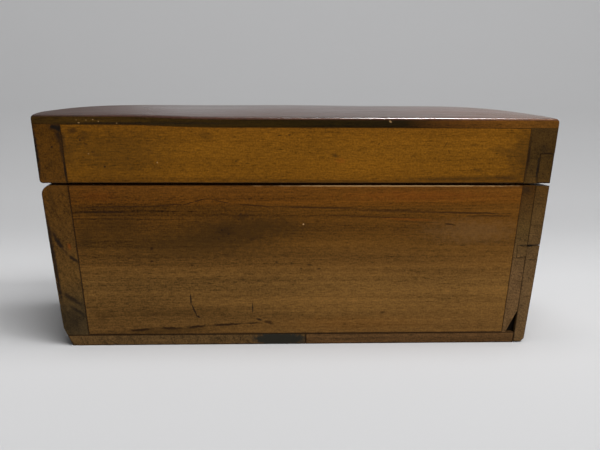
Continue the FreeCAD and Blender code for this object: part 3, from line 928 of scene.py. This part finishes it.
FRONT_MARKS = (
    Mark(-24, 42, 28, 7.0, Tone.UMBER, 0.6, 2, 0.9),
    Mark(-7, 43, 22, 5.0, Tone.UMBER, 0.5, -3, 0.9),
    Mark(-36, 36, 46, 8.0, Tone.UMBER, 0.6, 1, 0.9),
    Mark(-66, 43, 14, 7, Tone.UMBER, 0.45, 0, 0.9),
    Mark(45, 54, 40, 3.0, Tone.RUST, 0.22, 0, 0.9),
    Mark(-72, 54, 10, 3.0, Tone.RUST, 0.14, 0, 0.9),
    Mark(64, 41, 26, 7.0, Tone.TAN, 0.3, 0, 0.9),
    Mark(-20.5, 46.6, 3.2, 1.5, Tone.DARK, 0.5, 0, 0.9),
    Mark(-26.5, 41.2, 5.0, 2.4, Tone.DARK, 0.4, 0, 0.9),
    Mark(-16.0, 38.6, 3.4, 1.5, Tone.DARK, 0.4, 0, 0.9),
    Mark(-20.8, 47.4, 0.7, 0.4, Tone.SOOT_AND_SHADE, 0.6, 20, 0.8),
    Mark(-18.2, 46.8, 0.6, 0.4, Tone.SOOT_AND_SHADE, 0.6, -10, 0.8),
    Mark(-16.6, 45.6, 0.5, 0.4, Tone.SOOT_AND_SHADE, 0.5, 30, 0.8),
    Mark(-21.6, 45.4, 0.6, 0.35, Tone.SOOT_AND_SHADE, 0.5, 0, 0.8),
    Mark(-27.6, 41.6, 0.7, 0.4, Tone.SOOT_AND_SHADE, 0.55, -20, 0.8),
    Mark(-25.2, 40.2, 0.6, 0.45, Tone.SOOT_AND_SHADE, 0.55, 10, 0.8),
    Mark(-22.8, 38.0, 0.6, 0.4, Tone.SOOT_AND_SHADE, 0.5, 40, 0.8),
    Mark(-28.6, 38.4, 0.5, 0.4, Tone.SOOT_AND_SHADE, 0.45, 0, 0.8),
    Mark(40.0, 45.4, 13, 0.6, Tone.RUST, 0.3, -2, 0.9),
    Mark(26.0, 46.4, 22, 0.35, Tone.DARK, 0.5, -2, 0.7),
    Mark(44.0, 44.4, 14, 0.3, Tone.DARK, 0.45, -2, 0.7),
    Mark(-52.8, 35.1, 0.9, 0.8, Tone.DARK, 0.8, 0, 0.8),
    Mark(-52.8, 30.4, 1.0, 0.5, Tone.DARK, 0.8, 0, 0.8),
    Mark(4.2, 28.9, 1.5, 0.4, Tone.DARK, 0.75, -8, 0.7),
    Mark(7.6, 27.4, 0.9, 0.4, Tone.DARK, 0.8, 0, 0.7),
    Mark(1.2, 27.6, 0.7, 0.4, Tone.DARK, 0.75, 0, 0.7),
    Mark(4.4, 26.9, 3.0, 1.8, Tone.UMBER, 0.35, 0, 0.9),
    Mark(-7.8, 29.9, 0.6, 0.5, Tone.DARK, 0.7, 0, 0.7),
    Mark(-2.3, 29.5, 0.5, 0.6, Tone.DARK, 0.7, 0, 0.7),
    Mark(-38.7, 16.4, 0.32, 2.6, Tone.SOOT_AND_SHADE, 0.9, 3, 0.4, 0.8),
    Mark(-37.4, 12.4, 0.34, 2.8, Tone.SOOT_AND_SHADE, 0.9, 24, 0.4, 0.8),
    Mark(-35.9, 10.2, 0.7, 0.4, Tone.SOOT_AND_SHADE, 0.9, -30, 0.5, 0.8),
    Mark(-16.4, 13.4, 0.28, 2.2, Tone.SOOT_AND_SHADE, 0.8, 0, 0.4, 0.6),
    Mark(-14.0, 9.0, 1.4, 0.5, Tone.SOOT_AND_SHADE, 0.85, -14, 0.6),
    Mark(-10.4, 8.0, 2.4, 0.9, Tone.DARK, 0.8, -12, 0.7),
    Mark(-56.2, 5.6, 6.4, 0.7, Tone.DARK, 0.95, 5, 0.6),
    Mark(-46.4, 6.1, 5.6, 0.7, Tone.DARK, 0.95, -1, 0.6),
    Mark(-37.0, 6.5, 4.2, 0.65, Tone.DARK, 0.95, 8, 0.6),
    Mark(-25.6, 7.3, 7.6, 0.6, Tone.DARK, 0.9, 3, 0.6),
    Mark(-16.0, 7.8, 4.0, 0.5, Tone.DARK, 0.8, 3, 0.7),
    Mark(-46, 5.2, 26, 1.8, Tone.UMBER, 0.6, 2, 0.9),
    Mark(-44, 11.6, 34, 1.9, Tone.UMBER, 0.42, 2, 0.9),
    Mark(-70, 11.0, 6, 3.0, Tone.UMBER, 0.4, 0, 0.9),
    Mark(-76, 39.0, 5, 8.0, Tone.UMBER, 0.5, 0, 0.9),
    Mark(55.3, 43.6, 2.4, 0.5, Tone.DARK, 0.8, -9, 0.7),
    Mark(50.9, 38.9, 1.2, 0.3, Tone.DARK, 0.6, 0, 0.7),
    Mark(60.2, 35.9, 1.4, 0.35, Tone.DARK, 0.6, 0, 0.7),
    Mark(31.0, 11.4, 1.5, 0.4, Tone.DARK, 0.65, 0, 0.7),
    Mark(17.1, 7.1, 0.9, 0.4, Tone.DARK, 0.65, 0, 0.7),
    Mark(20.0, 9.0, 0.7, 0.5, Tone.DARK, 0.55, 30, 0.7),
    Mark(1.9, 43.7, 0.35, 0.35, Tone.PALE, 0.8, 0, 0.5),
    Mark(-35.4, 52.4, 2.6, 0.24, Tone.DARK, 0.8, 18, 0.6),
    Mark(-39.6, 51.2, 3.2, 0.24, Tone.DARK, 0.75, 14, 0.6),
    Mark(-27.0, 51.7, 4.2, 0.24, Tone.DARK, 0.7, -12, 0.6),
    Mark(-47.0, 50.6, 6.5, 0.28, Tone.DARK, 0.75, 4, 0.6),
    Mark(-66.0, 50.0, 17, 0.3, Tone.DARK, 0.7, 1, 0.6),
    Mark(-16.0, 50.5, 9.0, 0.28, Tone.DARK, 0.7, -4, 0.6),
    Mark(8.0, 49.7, 24, 0.45, Tone.DARK, 0.65, -1, 0.6),
    Mark(-70.0, 48.2, 13, 0.7, Tone.DARK, 0.6, -1, 0.7),
    Mark(38.0, 48.4, 22, 0.9, Tone.DARK, 0.55, -1, 0.8),
    Mark(62.0, 47.7, 20, 0.5, Tone.DARK, 0.7, -1, 0.6),
    Mark(70.0, 46.6, 13, 0.4, Tone.DARK, 0.6, 0, 0.6),
    # Painted highlight: a thin pale line along the body's front rim, standing in for the lamp's glint on its
    # arris.
    Mark(36.0, 57.5, 58, 0.3, Tone.PALE, 0.5, 0, 0.5),
    Mark(20, 7.5, 40, 4, Tone.AMBER, 0.15, 0, 0.9),
)

LID_MARKS = (
    Mark(-78.1, 73.8, 0.5, 0.4, Tone.SOOT_AND_SHADE, 0.9, 0, 0.6, 0.9),
    Mark(-69.2, 64.4, 0.55, 0.5, Tone.SOOT_AND_SHADE, 0.95, 0, 0.6, 1.0),
    Mark(-76.5, 76.2, 3.0, 2.0, Tone.UMBER, 0.55, -25, 0.9),
    Mark(-78.5, 72.5, 2.0, 1.2, Tone.UMBER, 0.45, 0, 0.9),
    Mark(-72.5, 68.6, 3.2, 1.0, Tone.UMBER, 0.35, 0, 0.9),
    Mark(-60.0, 63.6, 1.6, 1.0, Tone.UMBER, 0.35, 30, 0.9),
    Mark(-75.0, 69.0, 0.35, 0.3, Tone.PALE, 0.5, 0, 0.6),
    Mark(-50.6, 65.8, 0.35, 0.35, Tone.PALE, 0.5, 0, 0.6),
    Mark(-33.8, 75.8, 4.5, 2.6, Tone.UMBER, 0.35, -20, 0.9),
    Mark(-22.4, 66.4, 1.0, 0.5, Tone.DARK, 0.6, 20, 0.8),
    Mark(-24.0, 65.0, 0.5, 0.3, Tone.DARK, 0.5, 0, 0.8),
    Mark(-6.9, 75.7, 1.1, 0.35, Tone.DARK, 0.75, 4, 0.7),
    Mark(-3.3, 75.9, 0.8, 0.35, Tone.DARK, 0.8, 0, 0.7),
    Mark(13.2, 68.4, 1.7, 1.0, Tone.UMBER, 0.65, 0, 0.8),
    Mark(15.2, 66.6, 2.6, 1.6, Tone.RUST, 0.25, 0, 0.9),
    Mark(29.2, 72.8, 0.8, 0.35, Tone.DARK, 0.6, 30, 0.8),
    Mark(53.6, 72.6, 0.25, 1.9, Tone.DARK, 0.5, -30, 0.6),
    Mark(54.8, 69.9, 0.25, 1.2, Tone.DARK, 0.45, 25, 0.6),
    Mark(64.1, 72.4, 2.2, 0.6, Tone.UMBER, 0.45, -8, 0.9),
    Mark(75.0, 70.2, 7.0, 2.2, Tone.UMBER, 0.42, -10, 0.9),
    Mark(65.3, 63.3, 2.2, 1.2, Tone.UMBER, 0.5, 0, 0.9),
    Mark(60, 60.2, 30, 1.5, Tone.UMBER, 0.6, 1, 0.9),
    Mark(76, 60.6, 6, 1.6, Tone.DARK, 0.5, 0, 0.9),
    Mark(10, 59.2, 40, 0.8, Tone.UMBER, 0.45, 0, 0.9),
    Mark(-82, 70, 4.5, 12, Tone.UMBER, 0.35, 0, 0.9),
    Mark(-66, 69, 30, 15, Tone.UMBER, 0.46, 0, 0.9),
    Mark(-80.6, 77.2, 2.6, 1.4, Tone.DARK, 0.65, 0, 0.8),
    # Dark joint with painted shade in it: a near-black line where the rail meets the lid's left end.
    Mark(-83.8, 73.0, 1.0, 6.5, Tone.SOOT_AND_SHADE, 0.5, 6.7, 0.95),
    Mark(-77.2, 74.4, 1.6, 1.2, Tone.DARK, 0.5, 0, 0.9),
    Mark(84.0, 68, 11, 18, Tone.UMBER, 0.65, 0, 0.9),
    Mark(-78.4, 75.2, 1.4, 0.5, Tone.DARK, 0.55, 30, 0.7),
    Mark(-76.0, 72.4, 1.0, 0.4, Tone.DARK, 0.5, -20, 0.7),
    Mark(-73.6, 69.6, 1.2, 0.4, Tone.DARK, 0.5, -10, 0.7),
)

LEFT_END_MARKS = (
    Mark(-86.0, 37.6, 6.8, 1.1, Tone.SOOT_AND_SHADE, 0.85, -57, 0.8),
    Mark(-80.4, 31.2, 3.6, 1.1, Tone.SOOT_AND_SHADE, 0.85, -36, 0.8),
    Mark(-82.0, 35.8, 1.1, 2.0, Tone.RUST, 0.45, 20, 0.9),
    Mark(-81.0, 16.8, 7.0, 1.3, Tone.SOOT_AND_SHADE, 0.75, -34, 0.9),
    Mark(-79.0, 12.4, 5.6, 1.0, Tone.SOOT_AND_SHADE, 0.65, -36, 0.9),
    Mark(-81.5, 9.0, 7.5, 7.5, Tone.SOOT_AND_SHADE, 0.5, 0, 0.9),
    Mark(-88.2, 52.0, 1.6, 7.0, Tone.UMBER, 0.45, 8, 0.9),
    # Painted shade: a near-black line down the left end's outer edge.
    Mark(-87.4, 31.0, 1.1, 28, Tone.SOOT_AND_SHADE, 0.85, 9.6, 0.8),
    Mark(-83.5, 54.0, 3.5, 0.4, Tone.UMBER, 0.45, -40, 0.9),
    Mark(-82.5, 48.0, 4.0, 0.4, Tone.UMBER, 0.45, -44, 0.9),
)

LID_LEFT_MARKS = (
    Mark(-88.0, 71.3, 0.55, 0.45, Tone.SOOT_AND_SHADE, 0.9, 0, 0.6, 1.0),
    Mark(-86.4, 78.3, 3.8, 1.8, Tone.SOOT_AND_SHADE, 0.95, -8, 0.7),
    # Painted shade: a near-black line down the lid's left-hand outline.
    Mark(-93.4, 69.5, 1.1, 14, Tone.SOOT_AND_SHADE, 0.9, 8.3, 0.8),
    # Dark joint with painted shade in it: near-black lines where the lid's left end meets the rail.
    Mark(-85.6, 75.4, 1.6, 3.6, Tone.SOOT_AND_SHADE, 0.8, 6.7, 0.95),
    Mark(-84.6, 70.4, 1.0, 6.0, Tone.SOOT_AND_SHADE, 0.75, 6.7, 0.95),
    Mark(-83.4, 63.0, 0.45, 8.0, Tone.SOOT_AND_SHADE, 0.85, 6.7, 0.8),
    Mark(-88.5, 65.5, 2.0, 2.5, Tone.UMBER, 0.4, 0, 0.9),
)

RIGHT_END_MARKS = (
    # Painted shade: the inside of the chip at the foot is painted near-black, as shade in the hollow.
    Mark(77.5, 6.5, 4.0, 8.0, Tone.SOOT_AND_SHADE, 0.97, 0, 0.1, behind=4.2),
    Mark(83.5, 56.0, 3.4, 2.2, Tone.SOOT_AND_SHADE, 0.5, -10, 0.9),
    Mark(83.0, 35.8, 2.4, 0.34, Tone.SOOT_AND_SHADE, 0.85, 3, 0.7),
    Mark(82.2, 31.1, 3.6, 0.26, Tone.DARK, 0.65, 0, 0.7),
    Mark(81.0, 22.5, 4.0, 0.3, Tone.UMBER, 0.5, -6, 0.8),
    Mark(82.0, 45.5, 4.0, 0.3, Tone.UMBER, 0.5, -8, 0.8),
    Mark(78.0, 7.0, 2.0, 3.5, Tone.UMBER, 0.4, 0, 0.9),
)

PANEL_MARKS = (
    Mark(85.2, 35.6, 1.4, 0.45, Tone.SOOT_AND_SHADE, 0.95, 4, 0.6, 0.8),
    Mark(86.0, 30.6, 3.0, 0.28, Tone.DARK, 0.55, 0, 0.7),
    Mark(87.5, 51.0, 3.0, 0.4, Tone.UMBER, 0.5, -10, 0.8),
    Mark(86.5, 43.0, 3.0, 0.35, Tone.UMBER, 0.45, -8, 0.8),
    Mark(84.0, 17.0, 3.0, 0.35, Tone.UMBER, 0.45, -8, 0.8),
    # Painted shade: the inside of the chip at the foot is painted near-black, as shade in the hollow.
    Mark(80.6, 6.5, 1.6, 6.0, Tone.SOOT_AND_SHADE, 0.97, 0, 0.2, behind=4.0),
)

LID_RIGHT_MARKS = (
    # Dark joints with painted shade in them: where the rail meets the lid's right end, and where the facing
    # slip meets it.
    Mark(84.2, 68.6, 10.4, 0.40, Tone.DARK, 0.85, 82.4, 0.8),
    Mark(87.5, 64.0, 5.8, 0.50, Tone.SOOT_AND_SHADE, 0.90, 82.4, 0.7),
    Mark(91.0, 69.5, 3.4, 0.35, Tone.DARK, 0.6, 0, 0.8),
    Mark(86.4, 75.5, 2.5, 2.5, Tone.UMBER, 0.5, 0, 0.9),
    Mark(89.8, 71.0, 2.6, 2.4, Tone.SOOT_AND_SHADE, 0.4, 0, 0.9),
    # Painted shade: a soft darkening along the joint between the rail and the lid's right end.
    Mark(84.2, 68.0, 1.0, 6.0, Tone.DARK, 0.5, -8, 0.9),
)

BASE_MARKS = (Mark(-6.6, 1.9, 11.6, 2.8, Tone.KNOT, 1.0, 0, 0.35),)

TOP_EDGE_MARKS = (
    Mark(-66.0, 79.7, 26, 0.8, Tone.SOOT_AND_SHADE, 0.6, 0, 0.8),
    Mark(-40.0, 79.9, 26, 0.7, Tone.SOOT_AND_SHADE, 0.45, 0, 0.8),
    Mark(-79.3, 81.0, 0.35, 0.25, Tone.PALE, 0.3, 0, 0.8),
    Mark(-78.4, 80.0, 0.55, 0.35, Tone.PALE, 0.35, 0, 0.8),
    Mark(-75.8, 80.9, 0.25, 0.5, Tone.PALE, 0.25, 0, 0.8),
    Mark(-73.4, 81.1, 0.4, 0.3, Tone.PALE, 0.4, 0, 0.8),
    Mark(-71.4, 80.5, 0.4, 0.25, Tone.PALE, 0.35, 0, 0.8),
    Mark(-65.0, 79.9, 0.35, 0.25, Tone.PALE, 0.35, 0, 0.8),
    Mark(33.2, 80.9, 0.7, 0.45, Tone.PALE, 0.55, -30, 0.7),
)

FRONT_WOOD = WoodFinish(
    name="body front wood",
    tones=(
        (3.0, srgb(88, 61, 28)),
        (12.0, srgb(93, 65, 29)),
        (22.0, srgb(98, 69, 31)),
        (30.0, srgb(89, 60, 24)),
        (38.0, srgb(79, 51, 16)),
        (46.0, srgb(79, 49, 13)),
        (50.0, srgb(78, 48, 12)),
        (51.6, srgb(89, 53, 12)),
        (58.0, srgb(87, 52, 13)),
    ),
    lean=0.2,
    heart=(-60.0, -140.0),
    ring_width=1.5,
    ring_depth=0.32,
    ring_reach=(45.5, 51.5),
    ring_rest=0.3,
    wander=1.4,
    streak=1.25,
    marks=FRONT_MARKS,
)

LID_WOOD = WoodFinish(
    name="lid rail wood",
    tones=(
        (58.0, srgb(85, 53, 9)),
        (61.0, srgb(100, 63, 11)),
        (70.0, srgb(105, 67, 13)),
        (79.0, srgb(101, 63, 11)),
    ),
    lean=0.06,
    heart=(-60.0, -300.0),
    ring_width=2.2,
    ring_depth=0.12,
    wander=3.0,
    streak=0.5,
    blotch=0.45,
    marks=LID_MARKS,
)

LEFT_END_WOOD = WoodFinish(
    name="left end wood",
    tones=(
        (0.0, srgb(58, 45, 26)),
        (12.0, srgb(60, 46, 25)),
        (24.0, srgb(80, 56, 24)),
        (40.0, srgb(72, 48, 18)),
        (56.0, srgb(72, 45, 12)),
        (80.0, srgb(68, 41, 6)),
    ),
    grain=Grain.DEPTHWISE,
    heart=(-250.0, -60.0),
    ring_width=1.8,
    ring_depth=0.28,
    wander=3.5,
    marks=LEFT_END_MARKS,
)

LID_LEFT_WOOD = WoodFinish(
    name="lid left end wood",
    tones=LEFT_END_WOOD.tones,
    grain=Grain.DEPTHWISE,
    heart=(-200.0, -80.0),
    ring_width=1.5,
    ring_depth=0.2,
    wander=2.5,
    marks=LID_LEFT_MARKS,
)

RIGHT_END_WOOD = WoodFinish(
    name="right end wood",
    tones=(
        (0.0, srgb(92, 68, 41)),
        (26.0, srgb(92, 68, 41)),
        (41.0, srgb(75, 55, 26)),
        (48.0, srgb(67, 46, 19)),
        (58.0, srgb(62, 38, 10)),
    ),
    grain=Grain.DEPTHWISE,
    heart=(40.0, -160.0),
    ring_width=1.3,
    ring_depth=0.22,
    wander=2.0,
    streak=0.7,
    marks=RIGHT_END_MARKS,
)

PANEL_WOOD = WoodFinish(
    name="sliding panel wood",
    tones=(
        (0.0, srgb(88, 66, 40)),
        (24.0, srgb(88, 66, 40)),
        (48.0, srgb(75, 54, 26)),
        (58.0, srgb(72, 48, 17)),
    ),
    grain=Grain.DEPTHWISE,
    heart=(20.0, -160.0),
    ring_width=1.3,
    ring_depth=0.22,
    wander=2.0,
    streak=0.7,
    rim_share=0.4,
    marks=PANEL_MARKS,
)

LID_RIGHT_WOOD = WoodFinish(
    name="lid right end wood",
    tones=((58.0, srgb(68, 47, 18)), (68.0, srgb(58, 40, 14)), (79.0, srgb(60, 41, 15))),
    grain=Grain.DEPTHWISE,
    heart=(60.0, -120.0),
    ring_width=1.4,
    ring_depth=0.2,
    wander=2.0,
    marks=LID_RIGHT_MARKS,
)

BASE_LEFT_WOOD = WoodFinish(
    name="left base wood",
    tones=((0.0, srgb(78, 57, 31)), (4.0, srgb(82, 61, 34))),
    grain=Grain.DEPTHWISE,
    heart=(-260.0, -200.0),
    ring_width=2.2,
    ring_depth=0.35,
    wander=3.0,
    roughness=0.5,
    marks=BASE_MARKS,
)

BASE_RIGHT_WOOD = WoodFinish(
    name="right base wood",
    tones=((0.0, srgb(80, 56, 31)), (4.0, srgb(83, 59, 33))),
    heart=(-60.0, -90.0),
    ring_width=1.6,
    ring_depth=0.2,
    roughness=0.5,
)

TOP_WOOD = WoodFinish(
    name="top board wood",
    tones=(
        (-95.5, srgb(54, 32, 20)),
        (-60.0, srgb(64, 37, 25)),
        (30.0, srgb(72, 42, 28)),
        (60.0, srgb(94, 58, 38)),
        (95.5, srgb(100, 64, 40)),
    ),
    tone_axis="x",
    heart=(-40.0, -120.0),
    ring_width=3.4,
    ring_depth=0.25,
    wander=4.0,
    relief=0.006,
    roughness=0.2,
    dull_end=0.35,
    specular=0.2,
    rim_share=0.25,
    rim_tone=srgb(20, 12, 8),
)

TOP_EDGE_WOOD = WoodFinish(
    name="top board edge wood",
    tones=(
        (-95.5, srgb(44, 29, 6)),
        (-76.0, srgb(54, 36, 7)),
        (-53.0, srgb(46, 31, 6)),
        (-15.0, srgb(36, 24, 3)),
        (10.0, srgb(32, 22, 3)),
        (38.0, srgb(30, 20, 4)),
        (54.0, srgb(76, 45, 12)),
        (76.0, srgb(94, 58, 16)),
        (95.5, srgb(86, 54, 16)),
    ),
    tone_axis="x",
    heart=(-40.0, -120.0),
    ring_width=3.4,
    wander=4.0,
    rim_share=0.0,
    marks=TOP_EDGE_MARKS,
)

BRASS = MetalFinish("aged brass", srgb(168, 132, 66), srgb(92, 66, 30), 0.25, 0.34)
IRON = MetalFinish("key iron", srgb(104, 98, 90), srgb(44, 36, 30), 0.3, 0.45)


@dataclass
class Carcase:
    """The fixed boards of the box, and the key in its recess.

    Attributes:
        body: The body that they ride on.
        ease: Width of the eased edges, in millimetres.
    """

    body: str = "carcase"
    ease: float = 0.22

    def build(self) -> list[bpy.types.Object]:
        """Build the boards and dress the key.

        Returns:
            The pieces.
        """
        boards = (
            Board("front_board", self.body, "front_wood", FRONT_WOOD, None, self.ease),
            Board("left_end_board", self.body, "end_wood", LEFT_END_WOOD, None, self.ease),
            Board("base_board_left", self.body, "base_wood", BASE_LEFT_WOOD, None, self.ease),
            Board("base_board_right", self.body, "base_wood", BASE_RIGHT_WOOD, None, self.ease),
        )
        pieces = [board.build() for board in boards]
        pieces.append(dress_node("back_board", FRONT_WOOD))
        pieces.append(dress_node("right_end_board", RIGHT_END_WOOD))
        pieces.append(dress_node("key", IRON))
        return pieces


@dataclass
class SlidingPanels:
    """The two panels that slide back along the right end, with their runners.

    Attributes:
        ease: Width of the eased edges, in millimetres.
    """

    ease: float = 0.12

    def build(self) -> list[bpy.types.Object]:
        """Build the panels and dress their runners.

        Returns:
            The pieces.
        """
        pieces = [
            Board("upper_end_panel", "upper_panel", "end_wood", PANEL_WOOD, None, self.ease).build(),
            Board("lower_end_panel", "lower_panel", "end_wood", PANEL_WOOD, None, self.ease).build(),
        ]
        for node in ("upper_panel_runner", "lower_panel_runner"):
            pieces.append(dress_node(node, RIGHT_END_WOOD))
        return pieces


@dataclass
class Lid:
    """The lid's rails, ends, facing slip and cushioned top.

    Attributes:
        body: The body that they ride on.
        ease: Width of the eased edges, in millimetres.
        warp: The rise of the lid's front left-hand corner.
    """

    body: str = "lid"
    ease: float = 0.22
    warp: Warp = Warp()

    def build(self) -> list[bpy.types.Object]:
        """Build the lid's boards.

        Returns:
            The pieces.
        """
        boards = (
            Board("lid_front_rail", self.body, "lid_wood", LID_WOOD, self.warp, self.ease),
            Board("lid_left_end", self.body, "end_wood", LID_LEFT_WOOD, self.warp, self.ease),
            Board("lid_end_slip", self.body, "end_wood", LID_RIGHT_WOOD, None, self.ease),
            CushionTop("lid_top_board", self.body, "top_wood", TOP_WOOD, self.warp, TOP_EDGE_WOOD),
        )
        pieces = [board.build() for board in boards]
        pieces.append(dress_node("lid_back_rail", LID_WOOD))
        pieces.append(dress_node("lid_right_end", LID_RIGHT_WOOD))
        return pieces


@dataclass
class Fittings:
    """Brass hinges, lock, link plate and screws.

    Attributes:
        nodes: The solids that are brass.
    """

    nodes: tuple[str, ...] = (
        "hinge_leaf_lower_left",
        "hinge_leaf_lower_right",
        "hinge_leaf_upper_left",
        "hinge_leaf_upper_right",
        "hinge_pin_left",
        "hinge_pin_right",
        "hinge_screws_lower",
        "hinge_screws_upper",
        "lock_case",
        "lock_cap_plate",
        "lock_bolt",
        "link_plate",
        "lock_screws",
        "link_screws",
    )

    def build(self) -> list[bpy.types.Object]:
        """Dress the fittings.

        Returns:
            The pieces.
        """
        return [dress_node(node, BRASS) for node in self.nodes]


@dataclass(frozen=True)
class Lamp:
    """An oblong lamp that faces the box.

    Attributes:
        name: Name of the lamp.
        place: Where it hangs, in metres.
        size: Its width and height, in metres.
        power: Its power, in watts.
        mirrored: Whether it shows in polished surfaces.
        scattered: Whether it lights matt surfaces.
        aim: The point that it faces, in metres.
    """

    name: str
    place: tuple[float, float, float]
    size: tuple[float, float]
    power: float
    mirrored: bool = True
    scattered: bool = True
    aim: tuple[float, float, float] = (0.0, 0.0, 0.04)

    def build(self) -> None:
        """Hang the lamp and turn it to the box."""
        data = bpy.data.lights.new(self.name, "AREA")
        data.shape = "RECTANGLE"
        data.size, data.size_y = self.size
        data.energy = self.power
        lamp = bpy.data.objects.new(self.name, data)
        lamp.location = self.place
        lamp.visible_glossy = self.mirrored
        lamp.visible_diffuse = self.scattered
        lamp.rotation_euler = (Vector(self.aim) - Vector(self.place)).to_track_quat("-Z", "Y").to_euler()
        bpy.context.scene.collection.objects.link(lamp)


@dataclass
class Studio:
    """Pale floor and backdrop, soft lights, and the camera at the photograph's angle.

    Attributes:
        image_width: Width of the picture, in pixels.
        focal: Focal length, in pixels.
        sensor: Width of the camera's sensor, in millimetres.
        yaw, pitch, roll: The camera's turn, downward tilt and lean, in degrees.
        eye: Where the camera is, in metres.
        floor_reach, floor_front: How far the floor runs to each side and to the front, in metres.
        wall_distance, wall_height: How far back the backdrop stands, and its height, in metres.
        sweep, sweep_steps: Size of the curve from floor to backdrop, in metres, and its number of steps.
        sheet_tones: Greys of the sheet at depths in millimetres: painted light and shade, lighter and darker
            bands that stand in for how the light falls across the sheet.
        surround_tint: Colour of the surround.
        fill_light, surround_light: Strength of the surround as a light, and as it is seen.
        lamps: A big soft lamp from the front, a softer one above, and a small one that the polish mirrors.
    """

    image_width: int = 600
    focal: float = 1500.0
    sensor: float = 36.0
    yaw: float = 4.47
    pitch: float = 4.69
    roll: float = 0.27
    eye: tuple[float, float, float] = (-0.04145, -0.59871, 0.08771)
    floor_reach: float = 2.2
    floor_front: float = 1.6
    wall_distance: float = 1.7
    wall_height: float = 1.6
    sweep: float = 1.2
    sweep_steps: int = 24
    sheet_tones: tuple[tuple[float, int], ...] = (
        (-260.0, 191),
        (-60.0, 208),
        (150.0, 215),
        (420.0, 209),
        (640.0, 211),
        (930.0, 199),
        (1180.0, 211),
        (1400.0, 230),
    )
    surround_tint: Colour = (0.97, 0.985, 1.0)
    fill_light: float = 0.08
    surround_light: float = 0.45
    lamps: tuple[Lamp, ...] = (
        Lamp("soft_front", (0.40, -1.20, 1.00), (1.4, 0.7), 26.5, mirrored=False),
        Lamp("soft_above", (0.25, 0.05, 1.35), (1.2, 1.2), 10.0, mirrored=False),
        Lamp("small_above", (0.19, -0.03, 0.98), (0.12, 0.14), 18.0, scattered=False),
    )

    def build(self) -> None:
        """Set up the stage, the lights, the camera and the picture's look."""
        self.build_backdrop()
        self.build_lights()
        self.build_camera()
        scene = bpy.context.scene
        scene.view_settings.view_transform = "Standard"

    def build_backdrop(self) -> None:
        """A pale sheet that lies under the box and curves up behind it, with painted light and shade in greys
        that change with depth.
        """
        mesh = bmesh.new()
        corner = (self.wall_distance, 0.0)
        profile = ((-self.floor_front, 0.0), corner, (self.wall_distance, self.wall_height))
        verts = [mesh.verts.new((-self.floor_reach, y, z)) for y, z in profile]
        edges = [mesh.edges.new(pair) for pair in zip(verts, verts[1:])]
        grown = bmesh.ops.extrude_edge_only(mesh, edges=edges)["geom"]
        moved = [item for item in grown if isinstance(item, bmesh.types.BMVert)]
        bmesh.ops.translate(mesh, verts=moved, vec=(2 * self.floor_reach, 0, 0))
        crease = [edge for edge in mesh.edges if len(edge.link_faces) == 2]
        bmesh.ops.bevel(
            mesh,
            geom=crease,
            offset=self.sweep,
            segments=self.sweep_steps,
            profile=0.5,
            affect="EDGES",
            material=-1,
        )
        bmesh.ops.recalc_face_normals(mesh, faces=mesh.faces)
        for face in mesh.faces:
            face.smooth = True
        graph = Graph("studio sheet")
        parts = graph.parts(graph.place())
        # Painted light and shade: the sheet's grey changes with depth to stand in for how the light falls
        # across it.
        near, far = self.sheet_tones[0][0], self.sheet_tones[-1][0]
        tones = [((y - near) / (far - near), srgb(tone, tone, tone + 1)) for y, tone in self.sheet_tones]
        colour = graph.ramp(graph.share(parts["y"], near, far), tones)
        graph.feed(graph.shader.inputs["Base Color"], colour)
        graph.shader.inputs["Roughness"].default_value = 0.9
        graph.shader.inputs["Specular IOR Level"].default_value = 0.1
        new_object("studio_sheet", mesh, graph.material)

    def build_lights(self) -> None:
        """Hang the lamps, and put the pale surround round them."""
        for lamp in self.lamps:
            lamp.build()
        self.build_surround()

    def build_surround(self) -> None:
        """A pale surround that the camera and the metal see, and that lights the box only a little."""
        world = bpy.data.worlds.new("studio")
        world.use_nodes = True
        tree = world.node_tree
        background = tree.nodes["Background"]
        background.inputs["Color"].default_value = (*self.surround_tint, 1.0)
        rays = tree.nodes.new("ShaderNodeLightPath")
        strength: Socket = rays.outputs["Is Camera Ray"]
        for kind in ("Is Glossy Ray", "Is Transmission Ray"):
            either = tree.nodes.new("ShaderNodeMath")
            either.operation = "MAXIMUM"
            tree.links.new(strength, either.inputs[0])
            tree.links.new(rays.outputs[kind], either.inputs[1])
            strength = either.outputs[0]
        level = tree.nodes.new("ShaderNodeMapRange")
        level.inputs["To Min"].default_value = self.fill_light
        level.inputs["To Max"].default_value = self.surround_light
        tree.links.new(strength, level.inputs["Value"])
        tree.links.new(level.outputs[0], background.inputs["Strength"])
        bpy.context.scene.world = world

    def build_camera(self) -> None:
        """Set the camera that was worked out from the box's edges in the photograph."""
        data = bpy.data.cameras.new("camera")
        data.sensor_width = self.sensor
        data.lens = self.sensor * self.focal / self.image_width
        camera = bpy.data.objects.new("camera", data)
        upright = Matrix.Rotation(math.radians(90 - self.pitch), 4, "X")
        turned = Matrix.Rotation(math.radians(-self.yaw), 4, "Z") @ upright
        leaned = turned @ Matrix.Rotation(math.radians(self.roll), 4, "Z")
        camera.matrix_world = Matrix.Translation(self.eye) @ leaned
        bpy.context.scene.collection.objects.link(camera)
        bpy.context.scene.camera = camera


def report(pieces: Iterable[bpy.types.Object]) -> None:
    """Log each piece and its number of faces."""
    for piece in pieces:
        LOG.info("%s: %d faces", piece.name, len(piece.data.polygons))


def main() -> None:
    """Build the dressed box and its studio."""
    logging.basicConfig(level=logging.INFO, format="%(message)s")
    for part in (Carcase(), SlidingPanels(), Lid(), Fittings()):
        report(part.build())
    Studio().build()


if __name__ == "__main__":
    main()
